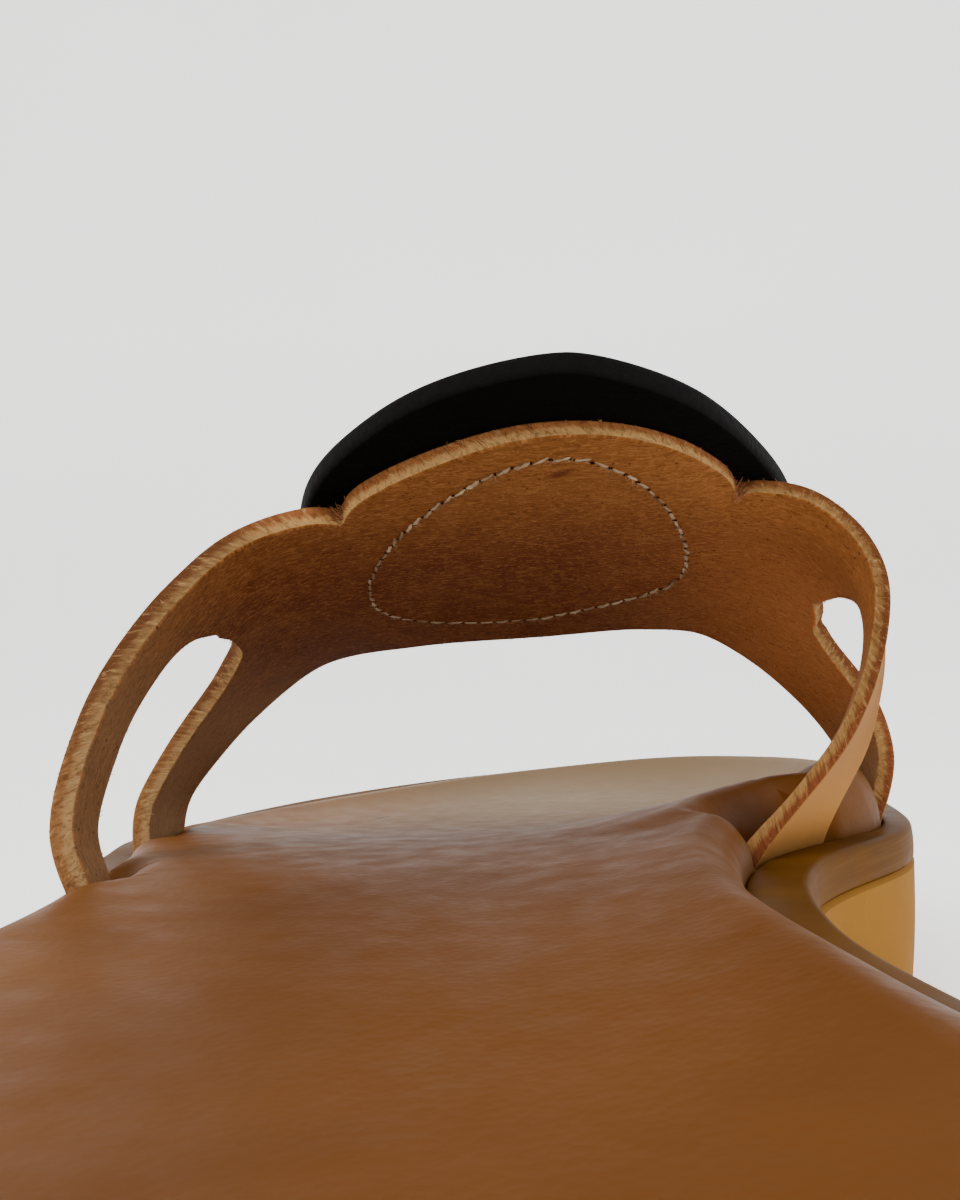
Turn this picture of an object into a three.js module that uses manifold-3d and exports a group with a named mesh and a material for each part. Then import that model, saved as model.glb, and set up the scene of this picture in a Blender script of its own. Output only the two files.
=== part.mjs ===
// Leather slide slipper for a left foot: a moulded two-layer sole, a cupped leather footbed,
// and one cut-out leather strap that carries an oval black ornament.
// Millimetres. +Y points to the toe, +X to the arch side, +Z up, the floor is Z = 0.
import * as THREE from 'three';
import { mergeVertices } from 'three/addons/utils/BufferGeometryUtils.js';
import Module from 'manifold-3d';

const wasm = await Module();
wasm.setup();

// Driving dimensions.
const soleLength = 285;
const ballWidth = 118.5;
const soleHeight = 24.5; // floor to rim, beside the strap
const midsoleThickness = 4.6;
const rimWidth = 4.5;
const rimRounding = 0.9;
const trayDepth = 3;
const lipHeight = 3.8; // scale of the footbed's rises and hollows
const soleTaper = 1.6; // how far the outsole draws in towards the floor
const toeSpring = 8.5;
const seamBevel = 0.5; // small bevels along the seam of the two sole layers
const treadBevel = 1.2; // bevel round the tread
const heelBevel = 1.6; // how far the heel's edge lifts
const archLift = 2.2;
const treadWidth = 2.6;
const treadDepth = 2;
const treadPitch = 11.5;
const treadPoint = 7; // how far a groove's middle leads its ends
const footbedEdge = 4; // width of the footbed's rolled edge
const strapStation = 0.54; // where the strap's rear legs stand, heel to toe
const strapLength = 60;
const instepHeight = 40;
const strapThickness = 2.2;
const tabLength = 13; // the round tab on the strap's rear edge
const nickDepth = 1.3;
const nickWidth = 2.2;
const discWidth = 54;
const discLength = 65;
const discThickness = 1.8;
const discFullness = 1.7; // 2 is an ellipse, less is more pointed
const discOffset = 4.3; // the disc's centre from the strap's middle, towards the arch side
const discSetback = 10.8; // the disc's centre from the strap's rear edge line
const discTurn = 8; // degrees that the disc is turned on the strap, its arch side forwards
const notchSpare = 3.2; // spare room behind the strap's rear inner leg
const clearance = 0.3;

const halfBall = ballWidth / 2;
const halfLength = soleLength / 2;
const strapOrigin = (strapStation - 0.5) * soleLength;

// The sole's outline, from the heel's tip round to the toe's tip in equal turns of the outline.
// lateral, medial: shares of half the ball width. lateralRim, medialRim: shares of the rim width.
const outlineTable = {
  lateral: [0.02, -0.24, -0.44, -0.58, -0.64, -0.655, -0.65, -0.655,
    -0.74, -0.9, -1.0, -0.925, -0.725, -0.405, -0.05, 0.27],
  medial: [0.02, 0.27, 0.47, 0.58, 0.6, 0.56, 0.49, 0.46,
    0.55, 0.835, 0.96, 1.0, 0.935, 0.785, 0.585, 0.27],
  lateralRim: [1, 1, 1, 1, 1, 1, 1, 1, 1, 1, 1, 1, 1, 1, 1, 1],
  medialRim: [1, 1, 1, 1, 1, 1, 1.1, 1.25, 1.2, 0.8, 0.9, 1, 1, 1, 1, 1],
};

// Heights along the sole, in equal steps from heel to toe.
// rim: share of the sole height. bed, lips: the footbed's height over the rim, as shares of the lip
// height. cup: how closely the footbed's rise keeps to its edge.
const profileTable = {
  rim: [1.225, 1.185, 1.13, 1.075, 1.03, 1.003, 0.988, 0.955, 0.93, 0.985, 1.1],
  bed: [-0.36, -0.38, -0.32, -0.14, 0.28, 0.73, 0.66, -0.05, -0.18, -0.36, -0.38],
  lateralLip: [0.5, 0.55, 0.55, 0.5, 0.6, 0.9, 0.8, 0.5, 0.32, 0.15, 0.42],
  medialLip: [0.5, 0.55, 0.65, 0.8, 1.05, 1.3, 1.8, 2.2, 1.75, 1.28, 0.5],
  cup: [2.6, 2.6, 2.6, 2.6, 2.6, 2.6, 2.4, 3.2, 5, 7, 7],
};

// The strap's rear and front edges, from its outer foot over the instep to its inner foot.
// across: share of half the ball width. along: share of the strap length, from the station of the
// rear legs. up: share of the instep height, from the rim beside the strap.
const rearEdge = {
  across: [-0.583, -0.583, -0.628, -0.603, -0.502, -0.343, 0.046, 0.371, 0.584, 0.672, 0.601, 0.432, 0.432],
  along: [-0.24, -0.23, -0.212, -0.151, -0.068, 0.017, 0.067, 0.067, 0.066, 0.056, 0.061, 0.098, 0.103],
  up: [-0.14, -0.003, 0.191, 0.45, 0.724, 0.909, 0.96, 0.95, 0.902, 0.675, 0.339, 0.012, -0.14],
};
const frontEdge = {
  across: [-0.899, -0.899, -0.845, -0.667, -0.463, -0.205, 0.089, 0.335, 0.507, 0.695, 0.821, 0.85, 0.85],
  along: [1.024, 1.015, 0.972, 0.918, 0.848, 0.78, 0.762, 0.776, 0.825, 0.918, 1.02, 1.073, 1.081],
  up: [-0.17, -0.025, 0.156, 0.416, 0.612, 0.66, 0.671, 0.681, 0.634, 0.406, 0.134, -0.053, -0.17],
};

// The two slots, from the closed top down past the sole. girth: place between the strap's middle, 0,
// and a foot, 1. rear, front: shares of the way from the rear edge to the front edge.
const outerSlot = {
  girth: [0.425, 0.44, 0.48, 0.555, 0.7, 0.85, 1, 1.2, 1.35],
  rear: [0.335, 0.215, 0.15, 0.126, 0.113, 0.095, 0.09, 0.09, 0.09],
  front: [0.345, 0.455, 0.511, 0.57, 0.615, 0.59, 0.53, 0.53, 0.53],
};
const innerSlot = {
  girth: [0.485, 0.5, 0.53, 0.6, 0.72, 0.86, 1, 1.2, 1.35],
  rear: [0.437, 0.385, 0.27, 0.144, 0.149, 0.196, 0.254, 0.254, 0.254],
  front: [0.447, 0.505, 0.612, 0.672, 0.692, 0.69, 0.615, 0.615, 0.615],
};

// The tab's two ends on the strap's girth.
const tabFrom = -0.14;
const tabTo = 0.27;

// Smooth value of evenly spaced rows, straight beyond the first and last.
function through(rows, place) {
  const last = rows.length - 1;
  const i = Math.min(Math.max(Math.floor(place), 0), last - 1);
  const f = place - i;
  const b = rows[i];
  const c = rows[i + 1];
  const a = i > 0 ? rows[i - 1] : 2 * b - c;
  const d = i < last - 1 ? rows[i + 2] : 2 * c - b;
  if (f < 0) return b + (c - a) / 2 * f;
  if (f > 1) return c + (d - b) / 2 * (f - 1);
  return b + f * ((c - a) / 2 + f * (a - 2.5 * b + 2 * c - d / 2 + f * (1.5 * (b - c) + (d - a) / 2)));
}

const smooth = (x) => {
  const t = Math.min(Math.max(x, 0), 1);
  return t * t * (3 - 2 * t);
};

const mix = (a, b, t) => a + (b - a) * t;

// A point of the sole's outline. side is -1 on the outer side and 1 on the arch side,
// turn runs from 0 at the heel's tip to 1 at the toe's tip.
function outline(side, turn) {
  const rows = side < 0 ? outlineTable.lateral : outlineTable.medial;
  return [halfBall * through(rows, turn * (rows.length - 1)), -halfLength * Math.cos(Math.PI * turn)];
}

// The outline moved inwards by a distance, square to itself.
function inset(side, turn, distance) {
  const step = 1e-3;
  const [x, y] = outline(side, turn);
  const [x0, y0] = outline(side, turn - step);
  const [x1, y1] = outline(side, turn + step);
  const length = Math.hypot(x1 - x0, y1 - y0);
  return [x - side * distance * (y1 - y0) / length, y + side * distance * (x1 - x0) / length];
}

// The tray wall's distance from the outline, with some spare.
function wallInset(side, turn, spare = 0) {
  const rows = side < 0 ? outlineTable.lateralRim : outlineTable.medialRim;
  return rimWidth * through(rows, turn * (rows.length - 1)) + spare;
}

const along = (y) => (y / soleLength + 0.5) * (profileTable.rim.length - 1);
const rimTop = (y) => soleHeight * through(profileTable.rim, along(y));

function floorLine(y) {
  const share = y / soleLength + 0.5;
  const heel = heelBevel * smooth((0.05 - share) / 0.05);
  const arch = archLift * smooth((share - 0.36) / 0.09) * smooth((0.62 - share) / 0.09);
  const toe = toeSpring * Math.pow(Math.max(0, (share - 0.79) / 0.21), 1.7);
  return heel + arch + toe;
}

// The tray's wall, which the footbed and the strap's feet stand against.
const turns = Array.from({ length: 37 }, (_, i) => mix(0.012, 0.988, i / 36));
const fineTurns = Array.from({ length: 181 }, (_, i) => mix(0.012, 0.988, i / 180));
const trayWall = {
  '-1': fineTurns.map((turn) => inset(-1, turn, wallInset(-1, turn))),
  1: fineTurns.map((turn) => inset(1, turn, wallInset(1, turn))),
};

function wallAcross(side, y) {
  const wall = trayWall[side];
  let i = 0;
  while (i < wall.length - 2 && wall[i + 1][1] < y) i += 1;
  const [x0, y0] = wall[i];
  const [x1, y1] = wall[i + 1];
  return mix(x0, x1, (y - y0) / (y1 - y0));
}

function edgeDistance(x, y) {
  let best = Infinity;
  for (const side of [-1, 1]) {
    const wall = trayWall[side];
    for (let i = 0; i < wall.length - 1; i += 1) {
      const [x0, y0] = wall[i];
      const dx = wall[i + 1][0] - x0;
      const dy = wall[i + 1][1] - y0;
      const t = Math.min(Math.max(((x - x0) * dx + (y - y0) * dy) / (dx * dx + dy * dy), 0), 1);
      best = Math.min(best, Math.hypot(x - x0 - t * dx, y - y0 - t * dy));
    }
  }
  return best;
}

// The footbed's top: a shallow cup whose rolled edge stands highest along the arch.
function bedTop(x, y) {
  const place = along(y);
  const rim = rimTop(y);
  const left = wallAcross(-1, y);
  const right = wallAcross(1, y);
  const sideShare = smooth((x - left) / Math.max(right - left, 1));
  const lateral = through(profileTable.lateralLip, place);
  const lip = mix(lateral, through(profileTable.medialLip, place), sideShare) * lipHeight;
  const bed = through(profileTable.bed, place) * lipHeight;
  const distance = edgeDistance(x, y) - clearance;
  if (distance < footbedEdge) {
    const t = 1 - Math.max(distance, 0) / footbedEdge;
    return rim + mix(0, lip, Math.sqrt(1 - t * t));
  }
  const reach = Math.max((right - left) / 2, 4 * footbedEdge) - footbedEdge;
  const rise = Math.pow(Math.max(0, 1 - (distance - footbedEdge) / reach), through(profileTable.cup, place));
  return rim + mix(bed, lip, rise);
}

// A closed mesh of two facing grids joined round their borders, with any rings between.
function closedBody(top, bottom, rings = []) {
  const positions = [];
  const put = (a, b, c) => positions.push(...a, ...b, ...c);
  const quad = (a, b, c, d) => {
    put(a, b, c);
    put(a, c, d);
  };
  for (let i = 0; i < top.length - 1; i += 1) {
    for (let j = 0; j < top[i].length - 1; j += 1) {
      quad(top[i][j], top[i + 1][j], top[i + 1][j + 1], top[i][j + 1]);
      quad(bottom[i][j], bottom[i][j + 1], bottom[i + 1][j + 1], bottom[i + 1][j]);
    }
  }
  const loops = [border(top), ...rings, border(bottom)];
  for (let k = 0; k < loops.length - 1; k += 1) {
    const upper = loops[k];
    const lower = loops[k + 1];
    for (let i = 0; i < upper.length; i += 1) {
      const n = (i + 1) % upper.length;
      quad(upper[i], lower[i], lower[n], upper[n]);
    }
  }
  return toSolid(positions);
}

function border(grid) {
  const rows = grid.length;
  const columns = grid[0].length;
  const loop = grid.map((row) => row[0]);
  for (let j = 1; j < columns; j += 1) loop.push(grid[rows - 1][j]);
  for (let i = rows - 2; i >= 0; i -= 1) loop.push(grid[i][columns - 1]);
  for (let j = columns - 2; j > 0; j -= 1) loop.push(grid[0][j]);
  return loop;
}

function toSolid(positions) {
  let geometry = new THREE.BufferGeometry();
  geometry.setAttribute('position', new THREE.Float32BufferAttribute(positions, 3));
  geometry = mergeVertices(geometry, 1e-4);
  const vertProperties = geometry.attributes.position.array;
  const triVerts = new Uint32Array(geometry.index.array);
  if (signedVolume(vertProperties, triVerts) < 0) {
    for (let i = 0; i < triVerts.length; i += 3) {
      [triVerts[i + 1], triVerts[i + 2]] = [triVerts[i + 2], triVerts[i + 1]];
    }
  }
  return new wasm.Manifold(new wasm.Mesh({ numProp: 3, vertProperties, triVerts }));
}

function signedVolume(p, index) {
  let sum = 0;
  for (let i = 0; i < index.length; i += 3) {
    const [a, b, c] = [index[i] * 3, index[i + 1] * 3, index[i + 2] * 3];
    sum += p[a] * (p[b + 1] * p[c + 2] - p[b + 2] * p[c + 1]);
    sum += p[a + 1] * (p[b + 2] * p[c] - p[b] * p[c + 2]);
    sum += p[a + 2] * (p[b] * p[c + 1] - p[b + 1] * p[c]);
  }
  return sum / 6;
}

// A grid across the sole between the two sides of an inset outline. distance: a length, or a
// function of side and turn.
function soleGrid(distance, shares, height) {
  const reach = (side, turn) => (typeof distance === 'number' ? distance : distance(side, turn));
  return turns.map((turn) => {
    const [x0, y0] = inset(-1, turn, reach(-1, turn));
    const [x1, y1] = inset(1, turn, reach(1, turn));
    return shares.map((share) => {
      const x = mix(x0, x1, share);
      const y = mix(y0, y1, share);
      return [x, y, height(x, y)];
    });
  });
}

const plainShares = [0, 0.1, 0.3, 0.5, 0.7, 0.9, 1];
const lowerTop = (x, y) => rimTop(y) - midsoleThickness;

// Outsole: the light lower layer, a wedge with a heel flat, a lifted arch, a forefoot flat
// and toe spring, with pointed grooves across its tread.
function makeOutsole() {
  const sole = closedBody(
    soleGrid(seamBevel, plainShares, (x, y) => lowerTop(x, y) - clearance / 2),
    soleGrid(soleTaper + treadBevel, plainShares, (x, y) => floorLine(y)),
    [
      border(soleGrid(0, plainShares, (x, y) => lowerTop(x, y) - clearance / 2 - seamBevel)),
      border(soleGrid(soleTaper, plainShares, (x, y) => floorLine(y) + treadBevel)),
    ],
  );
  return treadStations().reduce((body, y) => body.subtract(treadBar(y)), sole);
}

function treadStations() {
  const stations = [];
  for (let y = -0.44 * soleLength; y < -0.2 * soleLength; y += treadPitch) stations.push(y);
  for (let y = 0.13 * soleLength; y < 0.42 * soleLength; y += treadPitch) stations.push(y);
  return stations;
}

function treadBar(station) {
  const half = 1.03 * halfBall;
  const places = [-1, -0.5, 0, 0.5, 1];
  const row = (offset, z) => places.map((place) => {
    const y = station + treadPoint * (0.5 - Math.abs(place)) + offset;
    return [place * half, y, z === null ? floorLine(y) + treadDepth : z];
  });
  const top = [row(-treadWidth / 2, null), row(treadWidth / 2, null)];
  const bottom = [row(-treadWidth / 2, -treadDepth), row(treadWidth / 2, -treadDepth)];
  return closedBody(top, bottom);
}

// Midsole: the dark upper layer. Its rim stands round a shallow tray, and the strap's feet
// go down through it.
function makeMidsole() {
  const plate = closedBody(
    soleGrid(rimRounding, plainShares, (x, y) => rimTop(y)),
    soleGrid(seamBevel, plainShares, (x, y) => lowerTop(x, y) + clearance / 2),
    [
      border(soleGrid(rimRounding * 0.3, plainShares, (x, y) => rimTop(y) - rimRounding * 0.3)),
      border(soleGrid(0, plainShares, (x, y) => rimTop(y) - rimRounding)),
      border(soleGrid(0, plainShares, (x, y) => lowerTop(x, y) + clearance / 2 + seamBevel)),
    ],
  );
  const tray = closedBody(
    soleGrid(wallInset, plainShares, (x, y) => rimTop(y) + trayDepth),
    soleGrid(wallInset, plainShares, (x, y) => rimTop(y) - trayDepth),
  );
  return legs.reduce(
    (body, leg) => body.subtract(legCutter(leg, 1.5 * clearance, strapThickness / 2 + clearance, 0)),
    plate.subtract(tray),
  );
}

// Footbed: lies in the tray, rolled at its edge, with a notch for each foot of the strap.
function makeFootbed() {
  const shares = [0, 0.012, 0.035, 0.075, 0.16, 0.3, 0.5, 0.7, 0.84, 0.925, 0.965, 0.988, 1];
  const edge = (side, turn) => wallInset(side, turn, clearance);
  const bed = closedBody(
    soleGrid(edge, shares, bedTop),
    soleGrid(edge, shares, (x, y) => rimTop(y) - trayDepth + clearance),
  );
  return legs.reduce(
    (body, leg) => body.subtract(legCutter(leg, 1.5 * clearance, 3 * rimWidth, leg.spare)),
    bed,
  );
}

// The strap's middle surface. girth runs from -1 at the outer feet to 1 at the inner feet,
// reach from 0 at the rear edge to 1 at the front edge.
function tablePoint(girth, reach) {
  const place = girth * 5 + 6;
  const rear = [rearEdge.across, rearEdge.along, rearEdge.up].map((rows) => through(rows, place));
  const front = [frontEdge.across, frontEdge.along, frontEdge.up].map((rows) => through(rows, place));
  const [across, forward, up] = rear.map((value, i) => mix(value, front[i], reach));
  return [halfBall * across, strapOrigin + strapLength * forward, soleHeight + instepHeight * up];
}

function strapPoint(girth, reach) {
  const point = tablePoint(girth, reach);
  const side = girth < 0 ? -1 : 1;
  const foot = tablePoint(side, reach);
  const standing = wallAcross(side, foot[1]) - side * (strapThickness / 2 + clearance);
  point[0] += (standing - foot[0]) * smooth((Math.abs(girth) - 0.3) / 0.5);
  const end = tablePoint(side * 1.2, reach);
  const seat = rimTop(end[1]) - midsoleThickness + clearance;
  point[2] += (seat - end[2]) * Math.min(Math.max((Math.abs(girth) - 1) / 0.2, 0), 1);
  return new THREE.Vector3(...point);
}

// The surface moved outwards, towards the grain side.
function strapOffset(girth, reach, distance) {
  const step = 1e-3;
  const acrossStrap = strapPoint(girth + step, reach).sub(strapPoint(girth - step, reach));
  const alongStrap = strapPoint(girth, reach + step).sub(strapPoint(girth, reach - step));
  const normal = acrossStrap.cross(alongStrap).normalize();
  return strapPoint(girth, reach).addScaledVector(normal, distance).toArray();
}

const ruling = (girth) => strapPoint(girth, 0).distanceTo(strapPoint(girth, 1));

// Millimetres over the strap for one unit of reach, at a place.
function reachRate(girth, reach) {
  const step = 0.02;
  return strapPoint(girth, reach + step).distanceTo(strapPoint(girth, reach - step)) / (2 * step);
}

// Where the strap's rear edge lies: the tab stands out behind the edge line between two nicks.
function rearReach(girth) {
  const t = Math.min(Math.max((girth - tabFrom) / (tabTo - tabFrom), 0), 1);
  const tab = tabLength * 4 * t * (1 - t);
  const nicks = [tabFrom, tabTo].map((at) => {
    const gap = Math.abs(girth - at) * ruling(0) * 2.2;
    return nickDepth * Math.max(0, 1 - gap / nickWidth);
  });
  return (nicks[0] + nicks[1] - tab) / ruling(girth);
}

function sheet(girths, reaches, inner, outer) {
  const grid = (distance) => girths.map(
    (girth) => reaches(girth).map((reach) => strapOffset(girth, reach, distance)),
  );
  return closedBody(grid(outer), grid(inner));
}

function slotCutter(side, slot) {
  const last = slot.girth.length - 1;
  const steps = Array.from({ length: 21 }, (_, i) => last * Math.pow(i / 20, 1.4));
  const reaches = (share) => steps.map((step) => [
    side * through(slot.girth, step),
    mix(through(slot.rear, step), through(slot.front, step), share),
  ]);
  const columns = [0, 0.5, 1].map(reaches);
  const grid = (distance) => columns.map((column) => column.map(
    ([girth, reach]) => strapOffset(girth, reach, distance),
  ));
  return closedBody(grid(strapThickness), grid(-strapThickness));
}

function legCutter(leg, spread, outer, spare) {
  const { side, from, to } = leg;
  const steps = Array.from({ length: 19 }, (_, i) => side * mix(0.64, 1.36, i / 18));
  const reaches = (girth) => {
    const rear = from(Math.abs(girth));
    const front = to(Math.abs(girth));
    const start = rear - (spread + spare) / reachRate(girth, rear);
    const end = front + spread / reachRate(girth, front);
    return [0, 0.25, 0.5, 0.75, 1].map((share) => mix(start, end, share));
  };
  return sheet(steps, reaches, -strapThickness / 2 - 1.5 * clearance, outer);
}

// One edge of a slot at a place on the girth.
function slotEdge(slot, rows) {
  return (girth) => {
    let i = 0;
    while (i < slot.girth.length - 2 && slot.girth[i + 1] < girth) i += 1;
    const t = (girth - slot.girth[i]) / (slot.girth[i + 1] - slot.girth[i]);
    return mix(rows[i], rows[i + 1], t);
  };
}

const legs = [
  { side: -1, from: () => 0, to: slotEdge(outerSlot, outerSlot.rear), spare: 0 },
  { side: -1, from: slotEdge(outerSlot, outerSlot.front), to: () => 1, spare: 0 },
  { side: 1, from: () => 0, to: slotEdge(innerSlot, innerSlot.rear), spare: notchSpare },
  { side: 1, from: slotEdge(innerSlot, innerSlot.front), to: () => 1, spare: 0 },
];

// Upper: one piece of thick leather, flesh side in, with a slot on each side and four feet.
function makeStrap() {
  const even = Array.from({ length: 61 }, (_, i) => mix(-1.2, 1.2, i / 60));
  const nicks = [tabFrom, tabTo].flatMap((at) => [-0.022, -0.011, 0, 0.011, 0.022].map((d) => at + d));
  const near = (girth) => nicks.some((at) => Math.abs(girth - at) < 0.009);
  const girths = [...even.filter((girth) => !near(girth)), ...nicks].sort((a, b) => a - b);
  const reaches = (girth) => [0, 0.12, 0.27, 0.42, 0.57, 0.72, 0.87, 1].map((t) => mix(rearReach(girth), 1, t));
  const whole = sheet(girths, reaches, -strapThickness / 2, strapThickness / 2);
  return whole.subtract(slotCutter(-1, outerSlot)).subtract(slotCutter(1, innerSlot));
}

// The girth that lies a distance over the strap from another, at one reach.
function girthBeside(start, distance, reach) {
  const steps = 16;
  let girth = start;
  for (let i = 0; i < steps; i += 1) {
    const rate = strapPoint(girth + 0.01, reach).distanceTo(strapPoint(girth - 0.01, reach)) / 0.02;
    girth += distance / steps / rate;
  }
  return girth;
}

// Ornament: an oval of black leather that follows the strap's curve and overhangs its tab.
function makeDisc() {
  const rings = [0, 0.3, 0.6, 0.85, 1];
  const spokes = 44;
  const under = strapThickness / 2 + clearance;
  const fullness = (value) => Math.sign(value) * Math.pow(Math.abs(value), 2 / discFullness);
  const turn = discTurn * Math.PI / 180;
  const point = (ring, spoke, distance) => {
    const angle = 2 * Math.PI * spoke / spokes;
    const wide = ring * discWidth / 2 * fullness(Math.cos(angle));
    const long = ring * discLength / 2 * fullness(Math.sin(angle));
    const across = wide * Math.cos(turn) - long * Math.sin(turn);
    const back = discSetback + wide * Math.sin(turn) + long * Math.cos(turn);
    const middle = girthBeside(0, discOffset, back / ruling(0));
    const girth = girthBeside(middle, across, back / ruling(0));
    return strapOffset(girth, back / ruling(girth), distance);
  };
  const positions = [];
  const put = (a, b, c) => positions.push(...a, ...b, ...c);
  for (let s = 0; s < spokes; s += 1) {
    for (let r = 0; r < rings.length - 1; r += 1) {
      for (const [distance, flip] of [[under + discThickness, false], [under, true]]) {
        const a = point(rings[r], s, distance);
        const b = point(rings[r + 1], s, distance);
        const c = point(rings[r + 1], s + 1, distance);
        const d = point(rings[r], s + 1, distance);
        if (flip) put(a, c, b);
        else put(a, b, c);
        if (r > 0 && flip) put(a, d, c);
        if (r > 0 && !flip) put(a, c, d);
      }
    }
    const [a, b] = [point(1, s, under + discThickness), point(1, s + 1, under + discThickness)];
    const [c, d] = [point(1, s + 1, under), point(1, s, under)];
    put(a, d, c);
    put(a, c, b);
  }
  return toSolid(positions);
}

function toMesh(name, solid, colour, roughness) {
  const { vertProperties, triVerts, numProp } = solid.getMesh();
  const geometry = new THREE.BufferGeometry();
  const positions = new Float32Array(vertProperties.length / numProp * 3);
  for (let i = 0; i < positions.length / 3; i += 1) {
    for (let k = 0; k < 3; k += 1) positions[3 * i + k] = vertProperties[numProp * i + k];
  }
  geometry.setAttribute('position', new THREE.BufferAttribute(positions, 3));
  geometry.setIndex(new THREE.BufferAttribute(new Uint32Array(triVerts), 1));
  geometry.computeVertexNormals();
  const material = new THREE.MeshStandardMaterial({ color: colour, roughness, metalness: 0 });
  const mesh = new THREE.Mesh(geometry, material);
  mesh.name = name;
  return mesh;
}

const slipper = new THREE.Group();
slipper.add(toMesh('outsole', makeOutsole(), 0xa8844e, 0.6));
slipper.add(toMesh('midsole', makeMidsole(), 0x75552c, 0.35));
slipper.add(toMesh('footbed', makeFootbed(), 0x7f5634, 0.5));
slipper.add(toMesh('upper_strap', makeStrap(), 0xa67c4c, 0.7));
slipper.add(toMesh('ornament_disc', makeDisc(), 0x111111, 0.8));

export default slipper;
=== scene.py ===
import math

import bmesh
import bpy
import numpy as np
from mathutils import Matrix


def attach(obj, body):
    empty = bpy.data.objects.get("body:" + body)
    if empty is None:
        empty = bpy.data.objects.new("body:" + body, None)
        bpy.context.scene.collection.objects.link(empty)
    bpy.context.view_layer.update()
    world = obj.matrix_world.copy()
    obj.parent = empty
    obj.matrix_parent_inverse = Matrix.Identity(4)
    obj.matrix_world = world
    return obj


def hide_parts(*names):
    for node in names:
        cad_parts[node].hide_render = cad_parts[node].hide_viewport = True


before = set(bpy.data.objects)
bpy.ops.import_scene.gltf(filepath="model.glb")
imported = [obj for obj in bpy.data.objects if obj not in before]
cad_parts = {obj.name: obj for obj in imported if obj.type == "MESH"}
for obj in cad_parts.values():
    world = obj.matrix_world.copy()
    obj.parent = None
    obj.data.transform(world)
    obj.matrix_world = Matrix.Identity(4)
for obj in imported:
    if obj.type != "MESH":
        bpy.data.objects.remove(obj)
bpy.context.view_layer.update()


# Outsole: the light lower layer of the sole, a block of foamed rubber moulded to the foot's outline
# and buffed on its side. It is thick at the heel, lifts at the arch and the toe, and has pointed
# grooves across its tread. Lengths here and below are millimetres until a mesh is made.
sole_length = 285.0
half_length = sole_length / 2
ball_width = 118.5
half_ball = ball_width / 2
sole_height = 24.5
midsole_thickness = 4.6
sole_taper = 1.6
buffed_hollow = 0.25
seam_bevel = 0.5
seam_gap = 0.03  # hair's width left at the glue line
tread_bevel = 1.2
tread_width = 2.6
tread_depth = 2.0
tread_pitch = 11.5
tread_point = 7.0
groove_spans = ((-0.44, -0.2), (0.13, 0.42))  # shares of the length from its middle
groove_floor = 0.32  # half the floor's width, as a share of the groove's
groove_reach = 1.03  # past half the ball's width, so that it cuts through the side
groove_overcut = 0.2
# Heights of the tread's heel bevel, arch and toe, and where each lies in shares of the length.
heel_bevel, heel_end = 1.6, 0.05
arch_lift, arch_from, arch_to, arch_blend = 2.2, 0.36, 0.62, 0.09
toe_spring, toe_from, toe_share, toe_curve = 8.5, 0.79, 0.21, 1.7

# From the heel's tip round to the toe's tip, as shares of half the ball's width.
lateral_outline = [0.02, -0.24, -0.44, -0.58, -0.64, -0.655, -0.65, -0.655,
                   -0.74, -0.9, -1.0, -0.925, -0.725, -0.405, -0.05, 0.27]
medial_outline = [0.02, 0.27, 0.47, 0.58, 0.6, 0.56, 0.49, 0.46,
                  0.55, 0.835, 0.96, 1.0, 0.935, 0.785, 0.585, 0.27]
rim_heights = [1.225, 1.185, 1.13, 1.075, 1.03, 1.003, 0.988, 0.955, 0.93, 0.985, 1.1]


def through(rows, place):
    """Smooth value of evenly spaced rows, straight beyond the first and last."""
    rows = np.asarray(rows, float)
    place = np.asarray(place, float)
    last = len(rows) - 1
    i = np.clip(np.floor(place).astype(int), 0, last - 1)
    f = place - i
    b, c = rows[i], rows[i + 1]
    a = np.where(i > 0, rows[np.maximum(i - 1, 0)], 2 * b - c)
    d = np.where(i < last - 1, rows[np.minimum(i + 2, last)], 2 * c - b)
    cubic = 1.5 * (b - c) + (d - a) / 2
    curve = b + f * ((c - a) / 2 + f * (a - 2.5 * b + 2 * c - d / 2 + f * cubic))
    return np.where(f < 0, b + (c - a) / 2 * f, np.where(f > 1, c + (d - b) / 2 * (f - 1), curve))


def smooth(x):
    t = np.clip(x, 0, 1)
    return t * t * (3 - 2 * t)


def mix(a, b, t):
    return a + (b - a) * t


def outline(side, turn):
    rows = lateral_outline if side < 0 else medial_outline
    return half_ball * through(rows, turn * (len(rows) - 1)), -half_length * np.cos(np.pi * turn)


def inset(side, turn, distance):
    """The sole's outline moved inwards by a distance, square to itself."""
    x, y = outline(side, turn)
    x0, y0 = outline(side, turn - 1e-3)
    x1, y1 = outline(side, turn + 1e-3)
    length = np.hypot(x1 - x0, y1 - y0)
    return x - side * distance * (y1 - y0) / length, y + side * distance * (x1 - x0) / length


def along(y):
    return (y / sole_length + 0.5) * (len(rim_heights) - 1)


def rim_top(y):
    return sole_height * through(rim_heights, along(y))


def floor_line(y):
    """The tread's height: bevelled at the heel, lifted at the arch and sprung at the toe."""
    share = y / sole_length + 0.5
    heel = heel_bevel * smooth((heel_end - share) / heel_end)
    arch = arch_lift * smooth((share - arch_from) / arch_blend)
    arch = arch * smooth((arch_to - share) / arch_blend)
    return heel + arch + toe_spring * np.maximum(0, (share - toe_from) / toe_share) ** toe_curve


def lower_top(y):
    return rim_top(y) - midsole_thickness


def even_shares(count, gather):
    """Shares from 0 to 1 that lie closer together near both ends."""
    t = np.linspace(0, 1, count)
    return mix(t, 0.5 - 0.5 * np.cos(np.pi * t), gather)


sole_turns = mix(0.003, 0.997, even_shares(261, 0.0))


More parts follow.
